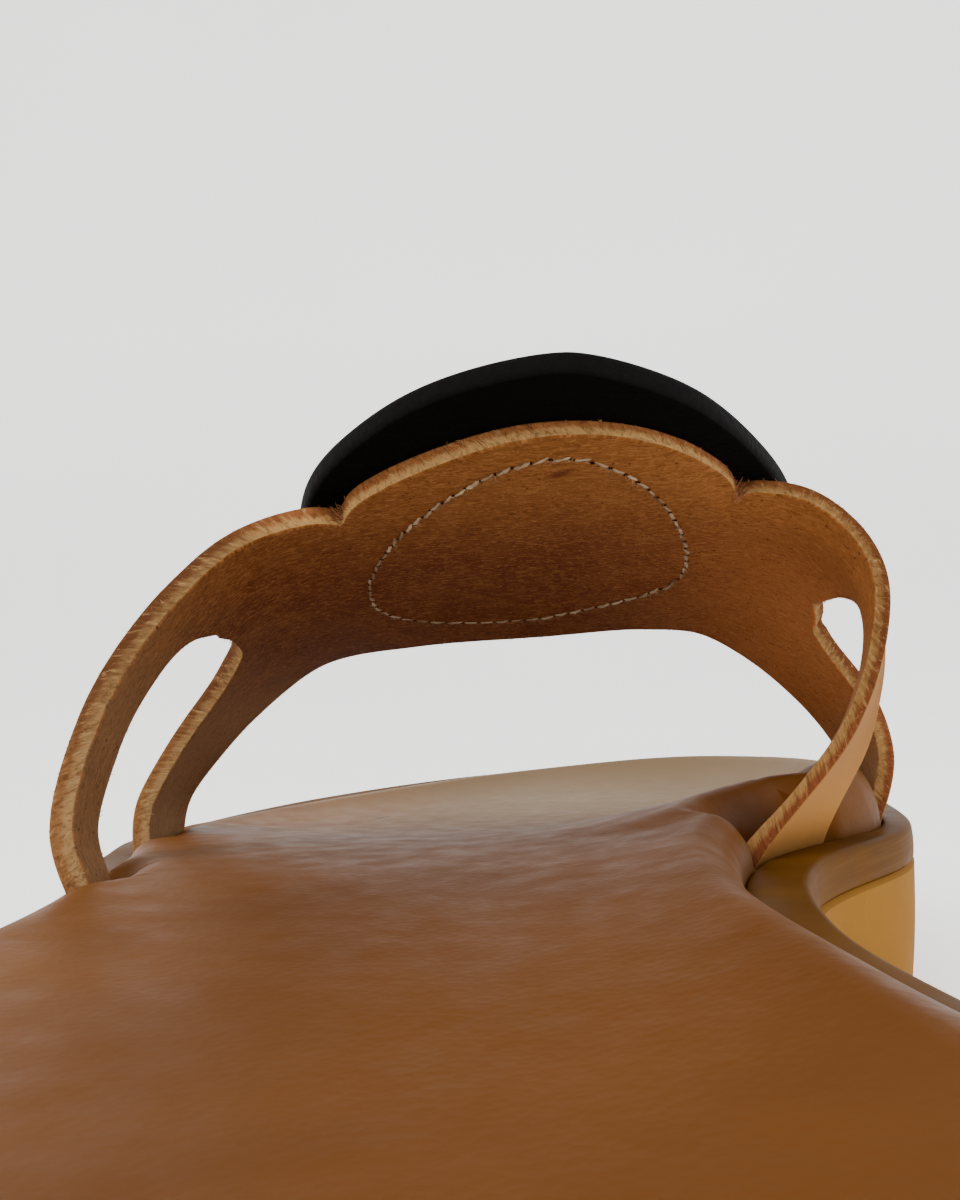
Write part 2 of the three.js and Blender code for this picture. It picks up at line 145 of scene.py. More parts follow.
def sole_grid(distance, shares, height, turns=sole_turns):
    """A grid across the sole between the two sides of an inset outline."""
    sides = []
    for side in (-1, 1):
        reach = distance(side, turns) if callable(distance) else distance
        sides.append(inset(side, turns, reach))
    (x0, y0), (x1, y1) = sides
    x = mix(x0[:, None], x1[:, None], shares)
    y = mix(y0[:, None], y1[:, None], shares)
    return np.stack([x, y, height(x, y)], -1)


def border(grid):
    return np.concatenate([grid[:, 0], grid[-1, 1:], grid[-2::-1, -1], grid[0, -2:0:-1]])


def closed_body(top, bottom, rings=()):
    """Points and faces of two facing grids joined round their borders through rings."""
    rows, columns = top.shape[:2]
    upper = np.arange(rows * columns).reshape(rows, columns)
    lower = upper + rows * columns
    points = [top.reshape(-1, 3), bottom.reshape(-1, 3)]
    faces = []
    for index in (upper, lower[:, ::-1]):
        corners = [index[:-1, :-1], index[1:, :-1], index[1:, 1:], index[:-1, 1:]]
        faces.append(np.stack([c.ravel() for c in corners], 1))
    loops = [border(upper)]
    start = 2 * rows * columns
    for ring in rings:
        points.append(ring)
        loops.append(start + np.arange(len(ring)))
        start += len(ring)
    loops.append(border(lower))
    for a, b in zip(loops, loops[1:]):
        faces.append(np.stack([a, b, np.roll(b, -1), np.roll(a, -1)], 1))
    return np.concatenate(points), np.concatenate(faces)


def make_piece(name, points, faces, materials, kinds=None, angle=38):
    """A mesh object in metres from points in millimetres, faces out, with its materials."""
    mesh = bpy.data.meshes.new(name)
    corners = faces.tolist() if isinstance(faces, np.ndarray) else faces
    mesh.from_pydata((np.asarray(points) * 0.001).tolist(), [], corners)
    if kinds is not None:
        mesh.polygons.foreach_set("material_index", np.asarray(kinds, np.int32))
    work = bmesh.new()
    work.from_mesh(mesh)
    bmesh.ops.recalc_face_normals(work, faces=work.faces)
    work.to_mesh(mesh)
    work.free()
    for material in materials:
        mesh.materials.append(material)
    mesh.shade_smooth()
    mesh.set_sharp_from_angle(angle=math.radians(angle))
    piece = bpy.data.objects.new(name, mesh)
    bpy.context.scene.collection.objects.link(piece)
    return piece


def linear(code):
    """sRGB hex to a linear colour."""
    parts = [int(code[i:i + 2], 16) / 255 for i in (1, 3, 5)]
    parts = [p / 12.92 if p <= 0.04045 else ((p + 0.055) / 1.055) ** 2.4 for p in parts]
    return tuple(parts) + (1.0,)


def feed(node, inputs):
    """Sets a node's inputs to values, or links them to a socket or to a node's first output."""
    for key, value in inputs.items():
        if isinstance(value, bpy.types.Node):
            value = value.outputs[0]
        if isinstance(value, bpy.types.NodeSocket):
            node.id_data.links.new(value, node.inputs[key])
        else:
            node.inputs[key].default_value = value


def add(material, kind, inputs=None, **settings):
    """Adds one node to a material, with its settings, and its inputs as values or links."""
    made = material.node_tree.nodes.new("ShaderNode" + kind)
    for name, value in settings.items():
        setattr(made, name, value)
    feed(made, inputs or {})
    return made


def start_material(name, roughness, specular):
    material = bpy.data.materials.new(name)
    material.use_nodes = True
    shader = material.node_tree.nodes["Principled BSDF"]
    feed(shader, {"Roughness": roughness, "IOR": 1.5, "Specular IOR Level": specular})
    return material, shader


# A texture coordinate of 1 is a metre, so a pattern of so many millimetres has this scale.
def grain_scale(millimetres):
    return 1000.0 / millimetres


def clouded(material, size, detail, dark, pale, crisp=False, **noise):
    """A point's place on the piece, a cloud pattern there, and a tone that drifts with it."""
    place = add(material, "TexCoord").outputs["Object"]
    cloud = add(material, "TexNoise", {
        "Vector": place, "Scale": grain_scale(size), "Detail": detail, **noise})
    share = cloud
    if crisp:
        share = add(material, "MapRange", {0: cloud, 1: 0.35, 2: 0.65, 3: 0.0, 4: 1.0})
    tone = add(material, "Mix", {0: share, 6: linear(dark), 7: linear(pale)}, data_type="RGBA")
    return place, cloud, tone.outputs[2]


def laid_over(material, colour, measure, span, shares, code, soft=False):
    """A colour with another laid over it, by a share that follows a measure across a span."""
    share = add(
        material, "MapRange", {0: measure, 1: span[0], 2: span[1], 3: shares[0], 4: shares[1]},
        interpolation_type="SMOOTHSTEP" if soft else "LINEAR")
    laid = add(material, "Mix", {0: share, 6: colour, 7: linear(code)}, data_type="RGBA")
    return laid.outputs[2]


# Foamed rubber, moulded and then buffed: an even warm tan with darker flecks of filler, a dull
# skin with a fine cell grain, and a darker tone towards its lowest edge.
foam, shader = start_material("buffed foamed rubber", 0.75, 0.03)
place, _, colour = clouded(foam, 14, 4.0, "#825618", "#996c2c")
flecks = add(foam, "TexVoronoi", {"Vector": place, "Scale": grain_scale(2.6)})
colour = laid_over(foam, colour, flecks, (0.06, 0.12), (0.3, 0.0), "#7c5424")
height = add(foam, "SeparateXYZ", {0: place}).outputs[2]
colour = laid_over(foam, colour, height, (0.0005, 0.006), (0.45, 0.0), "#5b452b")
cells = add(foam, "TexNoise", {"Vector": place, "Scale": grain_scale(0.5), "Detail": 3.0})
pits = add(foam, "Bump", {"Height": cells, "Strength": 0.35, "Distance": 0.0002})
feed(shader, {"Base Color": colour, "Normal": pits})

flat_shares = even_shares(25, 0.9)


def sole_ring(distance, height):
    """A closed ring of points at a distance in from the sole's outline."""
    return border(sole_grid(distance, flat_shares, height))


rings = [sole_ring(0.0, lambda x, y: lower_top(y) - seam_bevel - seam_gap)]
for level in np.linspace(0.12, 0.88, 6):
    rings.append(sole_ring(
        sole_taper * level - buffed_hollow * math.sin(math.pi * level),
        lambda x, y: mix(lower_top(y) - seam_bevel, floor_line(y) + tread_bevel, level)))
for turned in (0.0, 0.3, 0.6):
    angle = turned * math.pi / 2
    rings.append(sole_ring(
        sole_taper + tread_bevel * (1 - math.cos(angle)),
        lambda x, y: floor_line(y) + tread_bevel * (1 - math.sin(angle))))
points, faces = closed_body(
    sole_grid(seam_bevel, flat_shares, lambda x, y: lower_top(y) - seam_gap),
    sole_grid(sole_taper + tread_bevel, flat_shares, lambda x, y: floor_line(y)), rings)
outsole = make_piece("outsole_block", points, faces, [foam])


def tube_faces(count, rings, around):
    """Quads round many tubes of so many rings, then caps on their first and their last rings."""
    index = np.arange(count * rings * around).reshape(count, rings, around)
    turned = np.roll(index, -1, 2)
    corners = (index[:, :-1], turned[:, :-1], turned[:, 1:], index[:, 1:])
    quads = np.stack([corner.ravel() for corner in corners], 1)
    return quads.tolist() + index[:, 0, ::-1].tolist() + index[:, -1].tolist()


stations = np.concatenate([np.arange(*span, tread_pitch / sole_length) for span in groove_spans])
places = np.linspace(-1, 1, 9)
corners = ((-0.5, -groove_overcut), (-groove_floor, tread_depth),
           (groove_floor, tread_depth), (0.5, -groove_overcut))
groove_points = []
for station in stations:
    middle = station * sole_length + tread_point * (0.5 - np.abs(places))
    lines = []
    for offset, deep in corners:
        y = middle + offset * tread_width
        lines.append(np.stack([places * groove_reach * half_ball, y, floor_line(y) + deep], 1))
    groove_points.append(np.stack(lines, 1).reshape(-1, 3))
groove_faces = tube_faces(len(stations), len(places), len(corners))
grooves = make_piece("grooves", np.concatenate(groove_points), groove_faces, [foam])
cut = outsole.modifiers.new("grooves", "BOOLEAN")
cut.operation = "DIFFERENCE"
cut.solver = "MANIFOLD"
cut.object = grooves
bpy.context.view_layer.update()
seen = outsole.evaluated_get(bpy.context.evaluated_depsgraph_get())
carved = bpy.data.meshes.new_from_object(seen)
outsole.modifiers.clear()
outsole.data = carved
outsole.data.set_sharp_from_angle(angle=math.radians(38))
bpy.data.objects.remove(grooves)
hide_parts("outsole")
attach(outsole, "root")


# Midsole: the darker upper layer of the sole, dense rubber glued to the block below, trimmed and
# polished. Its rim stands round the tray that holds the footbed, and shows a flat glossy top.
rim_width = 4.5
rim_rounding = 0.9
rim_crown = 0.04
side_swell = 0.08
wall_rounding = 0.4
tray_depth = 3.0
medial_rim = [1, 1, 1, 1, 1, 1, 1.1, 1.25, 1.2, 0.8, 0.9, 1, 1, 1, 1, 1]


def wall_inset(side, turn, spare=0.0):
    """The tray wall's distance from the sole's outline."""
    if side < 0:
        return rim_width + spare
    return rim_width * through(medial_rim, turn * (len(medial_rim) - 1)) + spare


# Polished dense rubber: dark olive brown, with buffing lines along its side, clouded darker and
# paler, partly where the polish has worn and partly as painted sheen, and a soft gleam where its
# flat top turns into the side. The lines are waves 17 mm long and 0.3 mm high.
rim_rubber, shader = start_material("polished dense rubber", 0.42, 0.01)
# The cloud's paler tone is partly painted sheen.
place, cloud, colour = clouded(rim_rubber, 9, 4.0, "#462a0a", "#6a4415")
stretched = add(rim_rubber, "Mapping", {0: place, 3: (60, 60, 3000)})
lines = add(rim_rubber, "TexNoise", {"Vector": stretched, "Scale": 1.0, "Detail": 3.0})
colour = laid_over(rim_rubber, colour, lines, (0.45, 0.75), (0.0, 0.14), "#90682f")
dull = add(rim_rubber, "MapRange", {0: cloud, 1: 0.3, 2: 0.7, 3: 0.4, 4: 0.55})
ripple = add(rim_rubber, "Bump", {"Height": lines, "Strength": 0.12, "Distance": 0.0002})
feed(shader, {"Base Color": colour, "Roughness": dull, "Normal": ripple})

rings = [sole_ring(wall_inset, lambda x, y: rim_top(y) - wall_rounding)]
for spare, drop in ((-0.3 * wall_rounding, 0.3 * wall_rounding), (-wall_rounding, 0.0)):
    rings.append(sole_ring(
        lambda side, turn: wall_inset(side, turn, spare), lambda x, y: rim_top(y) - drop))
for share in (0.7, 0.45):
    rings.append(sole_ring(
        lambda side, turn: mix(rim_rounding, wall_inset(side, turn), share),
        lambda x, y: rim_top(y) + rim_crown))
for turned in (0.0, 0.25, 0.5, 0.75, 1.0):
    angle = turned * math.pi / 2
    rings.append(sole_ring(
        rim_rounding * (1 - math.sin(angle)),
        lambda x, y: rim_top(y) - rim_rounding * (1 - math.cos(angle))))
for share in (0.33, 0.66):
    rings.append(sole_ring(-side_swell, lambda x, y: mix(
        rim_top(y) - rim_rounding, lower_top(y) + seam_bevel, share)))
rings.append(sole_ring(0.0, lambda x, y: lower_top(y) + seam_bevel))
points, faces = closed_body(
    sole_grid(wall_inset, flat_shares, lambda x, y: rim_top(y) - tray_depth),
    sole_grid(seam_bevel, flat_shares, lambda x, y: lower_top(y)), rings)
midsole = make_piece("midsole_rim", points, faces, [rim_rubber], angle=50)
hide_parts("midsole")
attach(midsole, "root")


# Upper strap: one piece of thick vegetable-tanned leather, bent over the foot, flesh side in. Its
# rear and front edges are two curves in space, and straight lines join them. A slot is punched on
# each side, a nick ends each side of the round tab, and the feet stand against the tray's wall.
strap_origin = 0.04 * sole_length
strap_length = 60.0
instep_height = 40.0
strap_thickness = 2.2
clearance = 0.3
edge_round = 0.42
tab_length = 13.0
tab_from = -0.14
tab_to = 0.27
nick_depth = 1.5
nick_width = 2.2
nick_steepness = 1.6
# About what a girth of 1 spans at the nicks, in widths of the strap at its crown. It is one value
# between the outer nick's 2.7 and the inner nick's 1.6.
crown_pace = 2.2
leg_from, leg_blend = 0.3, 0.5
foot_share = 0.2
strap_end = 1 + foot_share
skive_from, skive_to = -0.12, 1.02
skive_width = 6.0
skive_share = 0.62

# Thirteen stations, five to a girth of 1, from the outer feet over the instep to the inner feet.
# They are shares of half the ball's width, of the strap's length and of the instep's height.
rear_edge = {
    "across": [-0.583, -0.583, -0.628, -0.603, -0.502, -0.343, 0.046,
               0.371, 0.584, 0.672, 0.601, 0.432, 0.432],
    "along": [-0.24, -0.23, -0.212, -0.151, -0.068, 0.017, 0.067,
              0.067, 0.066, 0.056, 0.061, 0.098, 0.103],
    "up": [-0.14, -0.003, 0.191, 0.45, 0.724, 0.909, 0.96,
           0.95, 0.902, 0.675, 0.339, 0.012, -0.14],
}
front_edge = {
    "across": [-0.899, -0.899, -0.845, -0.667, -0.463, -0.205, 0.089,
               0.335, 0.507, 0.695, 0.821, 0.85, 0.85],
    "along": [1.024, 1.015, 0.972, 0.918, 0.848, 0.78, 0.762,
              0.776, 0.825, 0.918, 1.02, 1.073, 1.081],
    "up": [-0.17, -0.025, 0.156, 0.416, 0.612, 0.66, 0.671,
           0.681, 0.634, 0.406, 0.134, -0.053, -0.17],
}
# A slot's two edges from its top down, as shares of the way from the strap's rear edge to its
# front edge.
outer_slot = {
    "girth": [0.425, 0.44, 0.48, 0.555, 0.7, 0.85, 1, 1.2, 1.35],
    "rear": [0.335, 0.215, 0.15, 0.126, 0.113, 0.095, 0.09, 0.09, 0.09],
    "front": [0.345, 0.455, 0.511, 0.57, 0.615, 0.59, 0.53, 0.53, 0.53],
}
inner_slot = {
    "girth": [0.485, 0.5, 0.53, 0.6, 0.72, 0.86, 1, 1.2, 1.35],
    "rear": [0.437, 0.385, 0.27, 0.144, 0.149, 0.196, 0.254, 0.254, 0.254],
    "front": [0.447, 0.505, 0.612, 0.672, 0.692, 0.69, 0.615, 0.615, 0.615],
}
wall_ends = (0.012, 0.988)
wall_turns = np.linspace(*wall_ends, 901)
tray_wall = {side: inset(side, wall_turns, wall_inset(side, wall_turns)) for side in (-1, 1)}


def wall_across(side, y):
    left = np.interp(y, tray_wall[-1][1], tray_wall[-1][0])
    right = np.interp(y, tray_wall[1][1], tray_wall[1][0])
    return np.where(side < 0, left, right)


def table_point(girth, reach):
    place = girth * 5 + 6
    across, forward, up = (
        mix(through(rear_edge[key], place), through(front_edge[key], place), reach)
        for key in ("across", "along", "up"))
    x, y, z = half_ball * across, strap_length * forward, instep_height * up
    return [x, strap_origin + y, sole_height + z]


def strap_point(girth, reach):
    """The strap's middle surface: girth is -1 at the outer feet and 1 at the inner feet, reach is 0
    at the rear edge and 1 at the front edge."""
    girth, reach = np.broadcast_arrays(np.asarray(girth, float), np.asarray(reach, float))
    x, y, z = table_point(girth, reach)
    side = np.where(girth < 0, -1.0, 1.0)
    foot = table_point(side, reach)
    standing = wall_across(side, foot[1]) - side * (strap_thickness / 2 + clearance)
    x = x + (standing - foot[0]) * smooth((np.abs(girth) - leg_from) / leg_blend)
    end = table_point(side * strap_end, reach)
    seat = rim_top(end[1]) - tray_depth + clearance + edge_round
    z = z + (seat - end[2]) * np.clip((np.abs(girth) - 1) / foot_share, 0, 1)
    return np.stack([x, y, z], -1)


def strap_normal(girth, reach):
    step = 4e-3
    across = strap_point(girth + step, reach) - strap_point(girth - step, reach)
    forward = strap_point(girth, reach + step) - strap_point(girth, reach - step)
    normal = np.cross(across, forward)
    return normal / np.linalg.norm(normal, axis=-1, keepdims=True)


def strap_offset(girth, reach, distance):
    return strap_point(girth, reach) + strap_normal(girth, reach) * np.asarray(distance)[..., None]


def ruling(girth):
    return np.linalg.norm(strap_point(girth, 0.0) - strap_point(girth, 1.0), axis=-1)


def reach_rate(girth, reach):
    ahead = strap_point(girth, reach + 0.02) - strap_point(girth, reach - 0.02)
    return np.linalg.norm(ahead, axis=-1) / 0.04


def slot_edge(slot, key, girth):
    place = np.linspace(0, len(slot["girth"]) - 1, 1600)
    return np.interp(girth, through(slot["girth"], place), through(slot[key], place))


def rear_reach(girth):
    """The rear edge: the tab stands out behind the edge line between two small nicks."""
    t = np.clip((girth - tab_from) / (tab_to - tab_from), 0, 1)
    tab = tab_length * 4 * t * (1 - t)
    nicks = 0
    for at in (tab_from, tab_to):
        gap = np.abs(girth - at) * ruling(0.0) * crown_pace
        nicks = nicks + nick_depth * np.exp(-(gap / nick_width * nick_steepness) ** 2)
    return (nicks - tab) / ruling(girth)


def flesh_depth(girth, reach):
    """How deep the flesh side lies under the middle surface: the sheet is skived along its rear
    edge, from the tab down the arch side."""
    behind = (reach - rear_reach(girth)) * ruling(girth)
    skived = smooth((girth - skive_from) / 0.25) * smooth((skive_to - girth) / 0.12)
    skived = skived * smooth(1 - behind / skive_width)
    return strap_thickness / 2 * (1 - skive_share * skived)


rear_columns = 26
middle_columns = 8
front_columns = 40

outer_top = outer_slot["girth"][0]
inner_top = inner_slot["girth"][0]
rows = set(np.round(np.arange(-strap_end, strap_end + 1e-6, 0.01), 4))
rows |= {-outer_top, inner_top, 0.0}
beyond_top = np.array([0.0015, 0.003, 0.005, 0.0075, 0.0125, 0.015, 0.0175])
round_nick = np.array([-0.014, -0.008, -0.005, -0.0025, 0.0, 0.0025, 0.005, 0.008, 0.014])
for at, side in ((-outer_top, -1), (inner_top, 1)):
    rows |= set(np.round(at + side * beyond_top, 5))
for at in (tab_from, tab_to):
    rows |= set(np.round(at + round_nick, 5))
girths = np.array(sorted(rows))
girths = girths[np.concatenate([[True], np.diff(girths) > 4e-4])]
across_middle = smooth((girths + outer_top) / (outer_top + inner_top))
beyond = np.where(girths < 0, np.abs(girths) - outer_top, girths - inner_top)
in_slot = beyond > 1e-6
shares = {}
for key, outward in (("rear", -1), ("front", 1)):
    resting = mix(outer_slot[key][0], inner_slot[key][0], across_middle)
    down = np.abs(girths)
    cut_share = np.where(
        girths < 0, slot_edge(outer_slot, key, down), slot_edge(inner_slot, key, down))
    rounding = outward * edge_round / reach_rate(girths, cut_share) * smooth(beyond / 0.02)
    shares[key] = np.where(in_slot, cut_share + rounding, resting)
rear_line = rear_reach(girths) + edge_round / ruling(girths)
front_line = 1 - edge_round / ruling(girths)
rear_share, front_share = shares["rear"][:, None], shares["front"][:, None]
columns = [
    mix(rear_line[:, None], rear_share, even_shares(rear_columns, 0.5)),
    mix(rear_share, front_share, np.linspace(0, 1, middle_columns + 1)[1:-1]),
    mix(front_share, front_line[:, None], even_shares(front_columns, 0.5)),
]
reaches = np.concatenate(columns, 1)
girth_grid = np.broadcast_to(girths[:, None], reaches.shape)
row_count, column_count = reaches.shape
middle = strap_point(girth_grid, reaches)
normals = strap_normal(girth_grid, reaches)

# Grid cells that are leather: the middle columns stop at the top of each slot.
cell_column = np.arange(column_count - 1)
in_middle = (cell_column >= rear_columns - 1) & (cell_column < rear_columns - 1 + middle_columns)
open_row = in_slot[:-1] | in_slot[1:]
kept = ~(in_middle & open_row[:, None])
index = np.arange(row_count * column_count).reshape(row_count, column_count)
corners = (index[:-1, :-1], index[1:, :-1], index[1:, 1:], index[:-1, 1:])
quads = np.stack([corner[kept] for corner in corners], 1)

# The border of the leather, as directed edges, and at each border point the way out of the sheet.
edges = np.concatenate([quads[:, [k, (k + 1) % 4]] for k in range(4)])
forward_keys = edges[:, 0] * (row_count * column_count) + edges[:, 1]
backward_keys = edges[:, 1] * (row_count * column_count) + edges[:, 0]
rim_edges = edges[~np.isin(forward_keys, backward_keys)]
flat_middle = middle.reshape(-1, 3)
flat_normals = normals.reshape(-1, 3)
rim_points = np.unique(rim_edges)
tangent = np.zeros_like(flat_middle)
for end in (0, 1):
    edge = flat_middle[rim_edges[:, 1]] - flat_middle[rim_edges[:, 0]]
    np.add.at(tangent, rim_edges[:, end], edge)
outward = np.cross(tangent, flat_normals)
outward /= np.maximum(np.linalg.norm(outward, axis=1, keepdims=True), 1e-9)
towards = np.zeros(len(flat_middle))
centres = flat_middle[quads].mean(1)
for k in range(4):
    corner = quads[:, k]
    np.add.at(towards, corner, ((flat_middle[corner] - centres) * outward[corner]).sum(1))
outward *= np.where(towards < 0, -1, 1)[:, None]

# The sheet sways a little, as worn leather does, but lies flat under the ornament. Its cut edge is
# burnished round on the grain side and left crisp and ragged on the flesh side.
rng = np.random.default_rng(7)
sway_height = 0.12
sway = sway_height * np.sin(girth_grid * 21 + reaches * 5) * np.sin(reaches * 9 + girth_grid * 7)
from_crown = np.abs(girth_grid)
sway = sway * smooth((0.9 - from_crown) / 0.3) * smooth((from_crown - 0.3) / 0.15)
flat_middle = flat_middle + flat_normals * sway.reshape(-1, 1)
deep = flesh_depth(girth_grid, reaches).ravel()
# How far out and how far down each level of the edge lies: in edge roundings, and in half
# thicknesses from the grain side.
levels = [(0.78, 0.02), (0.96, 0.1), (1.0, 0.3), (1.03, 0.65), (1.02, 1.0),
          (1.0, 1.35), (1.0, 1.68), (0.97, 1.9), (0.8, 1.985)]
level_kinds = [0, 0, 2, 2, 2, 2, 2, 2, 1, 1]
level_points = []
for out, down in levels:
    fuzz = rng.normal(0, 0.035 if 0.2 < down < 1.95 else 0.012, len(rim_points))
    reach_out = (edge_round * out + fuzz)[:, None]
    lift = mix(strap_thickness / 2, -deep[rim_points], down / 2)[:, None]
    level_points.append(
        flat_middle[rim_points] + outward[rim_points] * reach_out + flat_normals[rim_points] * lift)
used = np.unique(quads)
lookup = np.full(row_count * column_count, -1)
lookup[used] = np.arange(len(used))
grain_points = flat_middle[used] + flat_normals[used] * strap_thickness / 2
flesh_points = flat_middle[used] - flat_normals[used] * deep[used, None]
points = np.concatenate([grain_points, flesh_points] + level_points)
rim_lookup = np.full(row_count * column_count, -1)
rim_lookup[rim_points] = np.arange(len(rim_points))
faces = [lookup[quads], lookup[quads][:, ::-1] + len(used)]
kinds = [np.zeros(len(quads), int), np.ones(len(quads), int)]
start, end = rim_edges[:, 0], rim_edges[:, 1]
rows_down = [(lookup[start], lookup[end])]
for number in range(len(levels)):
    first = 2 * len(used) + number * len(rim_points)
    rows_down.append((first + rim_lookup[start], first + rim_lookup[end]))
rows_down.append((lookup[start] + len(used), lookup[end] + len(used)))
for (a0, b0), (a1, b1), kind in zip(rows_down, rows_down[1:], level_kinds):
    faces.append(np.stack([a0, b0, b1, a1], 1))
    kinds.append(np.full(len(rim_edges), kind))
faces = np.concatenate(faces)
kinds = np.concatenate(kinds)

# Distances over the leather from its middle and from its rear edge line carry its patterns.
steps = np.linspace(0, 1, 25)
walk = strap_point(girth_grid[..., None] * steps, reaches[..., None])
across_mm = np.linalg.norm(np.diff(walk, axis=2), axis=-1).sum(2) * np.sign(girth_grid)
back_mm = reaches * ruling(girths)[:, None]
lay = np.stack([across_mm.ravel(), back_mm.ravel()], 1)
lay = np.concatenate([lay[used], lay[used]] + [lay[rim_points]] * len(levels)) * 0.001
depth = np.concatenate(
    [np.ones(len(used)), -np.ones(len(used))]
    + [np.full(len(rim_points), 1 - down) for out, down in levels])

# Vegetable-tanned hide, grain side: smooth matte tan with fine pores, and paler low down beside
# the sole: painted light that offsets the shade there.
grain, shader = start_material("vegetable-tanned grain leather", 0.6, 0.02)
place, _, colour = clouded(grain, 11, 5.0, "#7a4d20", "#94652f")
height = add(grain, "SeparateXYZ", {0: place}).outputs[2]
# Painted light: paler low down, where the sole shades the leather.
colour = laid_over(grain, colour, height, (0.026, 0.038), (0.8, 0.0), "#a8763e", soft=True)
pores = add(grain, "TexVoronoi", {
    "Vector": place, "Scale": grain_scale(0.55)}, feature="DISTANCE_TO_EDGE")
creases = add(grain, "TexNoise", {"Vector": place, "Scale": grain_scale(2.5), "Detail": 6.0})
relief = add(grain, "Math", {0: pores, 1: creases}, operation="ADD")
skin = add(grain, "Bump", {"Height": relief, "Strength": 0.2, "Distance": 0.0002})
feed(shader, {"Base Color": colour, "Normal": skin})

# The same hide, flesh side: brushed, so fine wavy naps lie over a red-brown ground. The ground is
# darkest in the hollow of the arch, as painted shade. It is paler on the arch side, along the rear
# edge, down the outer legs and down the inner legs, in that order, as painted light where the lamps
# reach; then it is clouded, napped and pitted. Rare dark specks lie on it, and a red-brown stain
# beside the thread's knot.
flesh, shader = start_material("brushed flesh side", 0.9, 0.1)
lay_map = add(flesh, "UVMap", uv_map="lay")
across, back = add(flesh, "SeparateXYZ", {0: lay_map}).outputs[:2]
cloud = add(flesh, "TexNoise", {
    "Vector": lay_map, "Scale": grain_scale(7), "Detail": 5.0, "Distortion": 0.6})
combed = add(flesh, "Mapping", {
    0: lay_map, 2: (0.0, 0.0, 0.12), 3: (grain_scale(1.3), grain_scale(0.4), 1.0)})
naps = add(flesh, "TexNoise", {
    "Vector": combed, "Scale": 1.0, "Detail": 5.0, "Roughness": 0.7, "Distortion": 1.8})
colour = linear("#632d12")
# The first four layers are painted light over a dark ground that stands for shade in the hollow.
for measure, span, most, code, soft in (
        (across, (0.006, 0.04), 1.0, "#ab6632", True),
        (back, (0.018, -0.006), 0.85, "#8c5626", True),
        (across, (-0.03, -0.052), 0.85, "#94704c", True),
        (across, (0.044, 0.062), 0.7, "#a87e58", True),
        (cloud, (0.4, 0.7), 0.25, "#9c6431", False),
        (naps, (0.5, 0.62), 0.55, "#bd8048", False),
        (naps, (0.46, 0.34), 0.6, "#401a0a", False)):
    colour = laid_over(flesh, colour, measure, span, (0.0, most), code, soft)
specks = add(flesh, "TexVoronoi", {
    "Vector": lay_map, "Scale": grain_scale(1.5)}, voronoi_dimensions="2D")
chance = add(flesh, "SeparateColor", {0: specks.outputs["Color"]})
rare = add(flesh, "Math", {0: chance, 1: 0.14}, operation="LESS_THAN")
speck = add(flesh, "MapRange", {0: specks, 1: 0.06, 2: 0.13, 3: 0.75, 4: 0.0})
speckle = add(flesh, "Math", {0: rare, 1: speck}, operation="MULTIPLY")
specked = add(flesh, "Mix", {0: speckle, 6: colour, 7: linear("#2f1408")}, data_type="RGBA")
stain_place = add(flesh, "Mapping", {
    0: lay_map, 1: (0.0066, -0.0062, 0.0), 2: (0.0, 0.0, -0.5), 3: (0.0019, 0.0008, 1.0)},
    vector_type="TEXTURE")
stain = add(flesh, "TexGradient", {0: stain_place}, gradient_type="SPHERICAL").outputs[1]
colour = laid_over(flesh, specked.outputs[2], stain, (0.0, 0.6), (0.0, 0.75), "#5c2112")
nap_relief = add(flesh, "Bump", {"Height": naps, "Strength": 0.8, "Distance": 0.0004})
feed(shader, {"Base Color": colour, "Normal": nap_relief, "Sheen Weight": 0.06,
              "Sheen Roughness": 0.5, "Sheen Tint": linear("#c99a66")})

# The hide's cut edge: loose fibres that run across the thickness, redder and darker in the grain's
# half, yellower in the flesh side's half, with pale torn tufts along its rim.
fibres, shader = start_material("cut edge of hide", 0.9, 0.08)
seat = add(fibres, "Attribute", attribute_name="edge_place").outputs["Vector"]
layer = add(fibres, "Attribute", attribute_name="depth").outputs["Fac"]
layer_shift = add(fibres, "Math", {0: layer, 1: 0.0005}, operation="MULTIPLY")
shift = add(fibres, "CombineXYZ", {0: layer_shift, 2: layer_shift})
place = add(fibres, "VectorMath", {0: seat, 1: shift}, operation="ADD")
rough = add(fibres, "TexNoise", {
    "Vector": place, "Scale": grain_scale(0.9), "Detail": 4.0, "Roughness": 0.7})
ragged_layer = add(fibres, "Math", {0: rough, 1: 2.0, 2: -1.0}, operation="MULTIPLY_ADD")
moved = add(fibres, "Math", {0: layer, 1: ragged_layer}, operation="ADD")
lay_map = add(fibres, "UVMap", uv_map="lay")
across = add(fibres, "SeparateXYZ", {0: lay_map}).outputs[0]
height = add(fibres, "SeparateXYZ", {0: seat}).outputs[2]
near_grain, high_on_leg, outer_side, inner_side = (
    add(fibres, "MapRange", {0: measure, 1: start, 2: end, 3: 0.0, 4: 1.0},
        interpolation_type="SMOOTHSTEP")
    for measure, start, end in (
        (moved, -0.35, 0.35), (height, 0.031, 0.047),
        (across, -0.018, -0.032), (across, 0.018, 0.034)))
